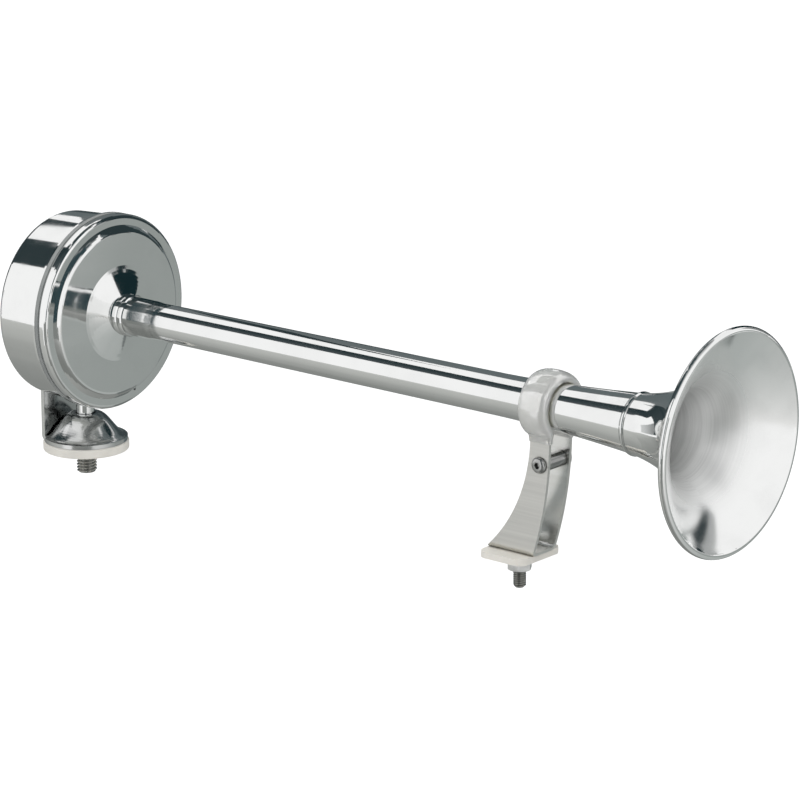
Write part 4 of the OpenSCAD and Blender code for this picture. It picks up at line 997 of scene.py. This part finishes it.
class HORN_OT_stage(bpy.types.Operator):
    """Set up the camera, the floor and the soft light"""

    bl_idname = "horn.stage"
    bl_label = "Stage"
    bl_options = {"REGISTER", "UNDO"}

    def execute(self, context):
        scene = context.scene
        stage = scene.horn_stage
        self.camera(scene, stage)
        self.floor(stage)
        self.lamp(scene, stage)
        self.cards()
        self.room(scene, stage)
        scene.view_settings.view_transform = "Standard"
        return {"FINISHED"}

    def camera(self, scene, stage):
        camera = bpy.data.objects.new("camera", bpy.data.cameras.new("camera"))
        scene.collection.objects.link(camera)
        back = (Vector(stage.eye) - Vector(stage.aim)).normalized()
        right = Vector((0, 0, 1)).cross(back).normalized()
        level = Matrix((right, back.cross(right), back)).transposed().to_4x4()
        camera.matrix_world = Matrix.Translation(stage.eye) @ level @ Matrix.Rotation(stage.roll, 4, "Z")
        camera.data.sensor_width = SENSOR
        camera.data.lens = stage.lens
        camera.data.clip_end = CLIP_END
        scene.camera = camera

    def floor(self, stage):
        bm = bmesh.new()
        bmesh.ops.create_grid(bm, x_segments=1, y_segments=1, size=FLOOR_HALF)
        mesh = bpy.data.meshes.new("floor")
        bm.to_mesh(mesh)
        bm.free()
        floor = new_object("floor", mesh, floor_paint("pale floor"))
        floor.location = (FLOOR_X, 0.0, -stage.floor_drop)
        floor.visible_glossy = False

    def lamp(self, scene, stage):
        data = bpy.data.lights.new("key", "AREA")
        data.shape = "DISK"
        data.size = KEY_SIZE
        data.energy = stage.key
        lamp = bpy.data.objects.new("key", data)
        lamp.location = KEY_PLACE
        lamp.rotation_euler = (Vector(KEY_AIM) - Vector(KEY_PLACE)).to_track_quat("-Z", "Y").to_euler()
        lamp.visible_glossy = False
        scene.collection.objects.link(lamp)

    def cards(self):
        """Dark and grey cards round the horn, as a photographer sets them for polished metal."""
        for name, corners, first, last in (*flat_cards(), *strip_cards()):
            mesh = bpy.data.meshes.new(name)
            mesh.from_pydata(corners, [], [(0, 1, 2, 3)])
            card = new_object(name, mesh, card_paint(name.replace("_", " "), corners, first, last))
            card.visible_camera = card.visible_diffuse = card.visible_shadow = card.visible_transmission = False

    def room(self, scene, stage):
        """A white room for the eye, for metal and for clear plastic, and a plain grey level on dull surfaces."""
        world = bpy.data.worlds.new("studio room")
        scene.world = world
        world.use_nodes = True
        g = Graph(world.node_tree)
        path = g.add("ShaderNodeLightPath").outputs
        seen = g.math("MAXIMUM", path["Is Camera Ray"], path["Is Transmission Ray"])
        shown = g.math("MAXIMUM", seen, path["Is Glossy Ray"])
        dull, white = (stage.room,) * 3 + (1.0,), rgba((1.0,) * 3)
        g.fill(world.node_tree.nodes["Background"].inputs, {"Color": g.tint(shown, dull, white), "Strength": 1.0})


class HORN_OT_drum(bpy.types.Operator):
    """Finish the drum: housing, seam gasket and front cover"""

    bl_idname = "horn.drum"
    bl_label = "Drum"
    bl_options = {"REGISTER", "UNDO"}

    def execute(self, context):
        dress("rear_housing", polished_steel("housing steel", 500.0, 0.08, 0.35))
        dress("front_cover", polished_steel("cover steel", 900.0, 0.08, 0.12))
        dress("seam_gasket", rubber("gasket rubber"))
        return {"FINISHED"}


class HORN_OT_tube(bpy.types.Operator):
    """Finish the throat collar, its sleeve, the tube and the bead over the joint"""

    bl_idname = "horn.tube"
    bl_label = "Throat and tube"
    bl_options = {"REGISTER", "UNDO"}

    def execute(self, context):
        dress("throat_collar", polished_steel("throat steel", 1400.0, 0.08, 0.05))
        dress("throat_sleeve", polished_steel("sleeve steel", 1400.0, 0.08, 0.05, rough=0.09, slope=0.3))
        dress("horn_tube", polished_steel("tube steel", 500.0, 0.05, 0.12))
        dress("joint_ring", polished_steel("bead steel", 900.0, 0.1, 0.1))
        return {"FINISHED"}


class HORN_OT_bell(bpy.types.Operator):
    """Finish the bell, polished outside and turned satin inside"""

    bl_idname = "horn.bell"
    bl_label = "Bell"
    bl_options = {"REGISTER", "UNDO"}

    def execute(self, context):
        dress("bell", bell_steel("bell steel"), even=True)
        return {"FINISHED"}


class HORN_OT_bracket(bpy.types.Operator):
    """Finish the domed rear bracket"""

    bl_idname = "horn.bracket"
    bl_label = "Rear bracket"
    bl_options = {"REGISTER", "UNDO"}

    def execute(self, context):
        dress("rear_bracket", bracket_steel("bracket steel"), context.scene.horn_sizes.edge_break)
        return {"FINISHED"}


class HORN_OT_studs(bpy.types.Operator):
    """Make the hollow rear stud and the front bolt with their threads"""

    bl_idname = "horn.studs"
    bl_label = "Studs"
    bl_options = {"REGISTER", "UNDO"}

    def execute(self, context):
        steel = stud_steel("stud steel")
        new_piece("hollow_stud", hollow_stud_mesh(), steel, "horn", "conduit_stud")
        new_piece("front_bolt", front_bolt_mesh(), steel, "front_support", "mount_bolt")
        return {"FINISHED"}


class HORN_OT_fasteners(bpy.types.Operator):
    """Make the nuts and the clamp screw, and finish the washers and the spacer"""

    bl_idname = "horn.fasteners"
    bl_label = "Fasteners"
    bl_options = {"REGISTER", "UNDO"}

    def execute(self, context):
        plain = fastener_steel("fastener steel")
        bright = fastener_steel("bright nut steel", 1.25, 0.35)
        dark = fastener_steel("screw steel", 0.85, 0.16)
        for name, mesh, steel, body, node in (
                ("deck_nut", nut_mesh("front_nut", DECK_HOLE, "Z"), bright, "front_support", "front_nut"),
                ("core_nut", nut_mesh("back_nut", CORE_HOLE, "X"), plain, "horn", "back_nut"),
                ("screw_nut", nut_mesh("clamp_nut", SCREW_HOLE, "Y"), plain, "front_support", "clamp_nut"),
                ("button_screw", button_screw_mesh(), dark, "front_support", "clamp_screw")):
            new_piece(name, mesh, steel, body, node)
        edge = context.scene.horn_sizes.edge_break
        dress("front_washer", plain, edge)
        dress("back_washer", plain, edge)
        dress("leg_spacer", fastener_steel("spacer steel", 0.62, 0.14), edge)
        return {"FINISHED"}


class HORN_OT_pads(bpy.types.Operator):
    """Finish the two nylon pads"""

    bl_idname = "horn.pads"
    bl_label = "Pads"
    bl_options = {"REGISTER", "UNDO"}

    def execute(self, context):
        cream = nylon("pad nylon")
        dress("rear_pad", cream)
        dress("front_pad", cream, PAD_EDGE)
        return {"FINISHED"}


class HORN_OT_strap(bpy.types.Operator):
    """Finish the strap of the clip with the lines of a sanding belt"""

    bl_idname = "horn.strap"
    bl_label = "Strap"
    bl_options = {"REGISTER", "UNDO"}

    def execute(self, context):
        dress("front_strap", satin_steel("strap steel"), context.scene.horn_sizes.edge_break)
        return {"FINISHED"}


class HORN_OT_sleeve(bpy.types.Operator):
    """Make the soft clear sleeve on the strap's loop"""

    bl_idname = "horn.sleeve"
    bl_label = "Soft sleeve"
    bl_options = {"REGISTER", "UNDO"}

    def execute(self, context):
        new_piece("soft_tubing", soft_sleeve_mesh(), clear_tubing("clear tubing"), "front_support",
                  "clip_sleeve")
        return {"FINISHED"}


class HORN_OT_diaphragm(bpy.types.Operator):
    """Make the diaphragm in sectors of narrow rings, in the place of its CAD node"""

    bl_idname = "horn.diaphragm"
    bl_label = "Diaphragm"
    bl_options = {"REGISTER", "UNDO"}

    def execute(self, context):
        spring = inner_part("spring steel", (0.50, 0.52, 0.55), 1.0, 0.25)
        low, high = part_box("diaphragm")
        rim = (high[2] - low[2]) / 2
        turn = math.tau / DISC_SECTORS
        for index in range(DISC_SECTORS):
            first = index * turn
            name = f"diaphragm_{index + 1}"
            thing = new_object(name, disc_sector_mesh(name, low[0], high[0], rim, first, first + turn), spring)
            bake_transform(thing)
            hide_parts("diaphragm")
        return {"FINISHED"}


# The finishes inside the drum: name, colour, metallic, roughness and the pieces that have them
INNER_FINISHES = (
    ("soft iron", (0.36, 0.37, 0.38), 1.0, 0.4, ("seat_ring", "clamp_ring", "magnet_core", "armature")),
    ("phenolic", (0.20, 0.14, 0.10), 0.0, 0.45, ("coil_bobbin", "contact_base")),
    ("copper wire", (0.72, 0.42, 0.22), 1.0, 0.3, ("coil_winding",)),
    ("contact brass", (0.72, 0.60, 0.34), 1.0, 0.3, ("contact_arm", "contact_strip", "adjusting_screw")),
    ("small steel", (0.60, 0.61, 0.62), 1.0, 0.3, ("stem_washer", "stem_nut", "contact_pin")),
)


class HORN_OT_power_unit(bpy.types.Operator):
    """Finish the pieces inside the drum"""

    bl_idname = "horn.power_unit"
    bl_label = "Power unit"
    bl_options = {"REGISTER", "UNDO"}

    def execute(self, context):
        for name, colour, metallic, rough, nodes in INNER_FINISHES:
            finish = inner_part(name, colour, metallic, rough)
            for node in nodes:
                dress(node, finish)
        dress("front_gasket", bpy.data.materials["gasket rubber"])
        return {"FINISHED"}


class HORN_PT_panel(bpy.types.Panel):
    """Lists the horn's pieces"""

    bl_label = "Horn"
    bl_idname = "HORN_PT_panel"
    bl_space_type = "VIEW_3D"
    bl_region_type = "UI"
    bl_category = "Horn"

    def draw(self, context):
        scene = context.scene
        for step in STEPS:
            self.layout.operator(step.bl_idname)
        for group in (scene.horn_sizes, scene.horn_finish, scene.horn_stage):
            box = self.layout.box()
            for key in group.__annotations__:
                box.prop(group, key)


STEPS = (HORN_OT_stage, HORN_OT_drum, HORN_OT_tube, HORN_OT_bell, HORN_OT_bracket, HORN_OT_studs, HORN_OT_fasteners,
         HORN_OT_pads, HORN_OT_strap, HORN_OT_sleeve, HORN_OT_diaphragm, HORN_OT_power_unit)
CLASSES = (HornSizes, HornFinish, HornStage) + STEPS + (HORN_PT_panel,)


def register():
    for kind in CLASSES:
        bpy.utils.register_class(kind)
    bpy.types.Scene.horn_sizes = bpy.props.PointerProperty(type=HornSizes)
    bpy.types.Scene.horn_finish = bpy.props.PointerProperty(type=HornFinish)
    bpy.types.Scene.horn_stage = bpy.props.PointerProperty(type=HornStage)


def unregister():
    for name in ("horn_sizes", "horn_finish", "horn_stage"):
        delattr(bpy.types.Scene, name)
    for kind in reversed(CLASSES):
        bpy.utils.unregister_class(kind)


def main():
    register()
    bpy.ops.horn.stage()
    bpy.ops.horn.drum()
    bpy.ops.horn.tube()
    bpy.ops.horn.bell()
    bpy.ops.horn.bracket()
    bpy.ops.horn.studs()
    bpy.ops.horn.fasteners()
    bpy.ops.horn.pads()
    bpy.ops.horn.strap()
    bpy.ops.horn.sleeve()
    bpy.ops.horn.diaphragm()
    bpy.ops.horn.power_unit()


if __name__ == "__main__":
    main()
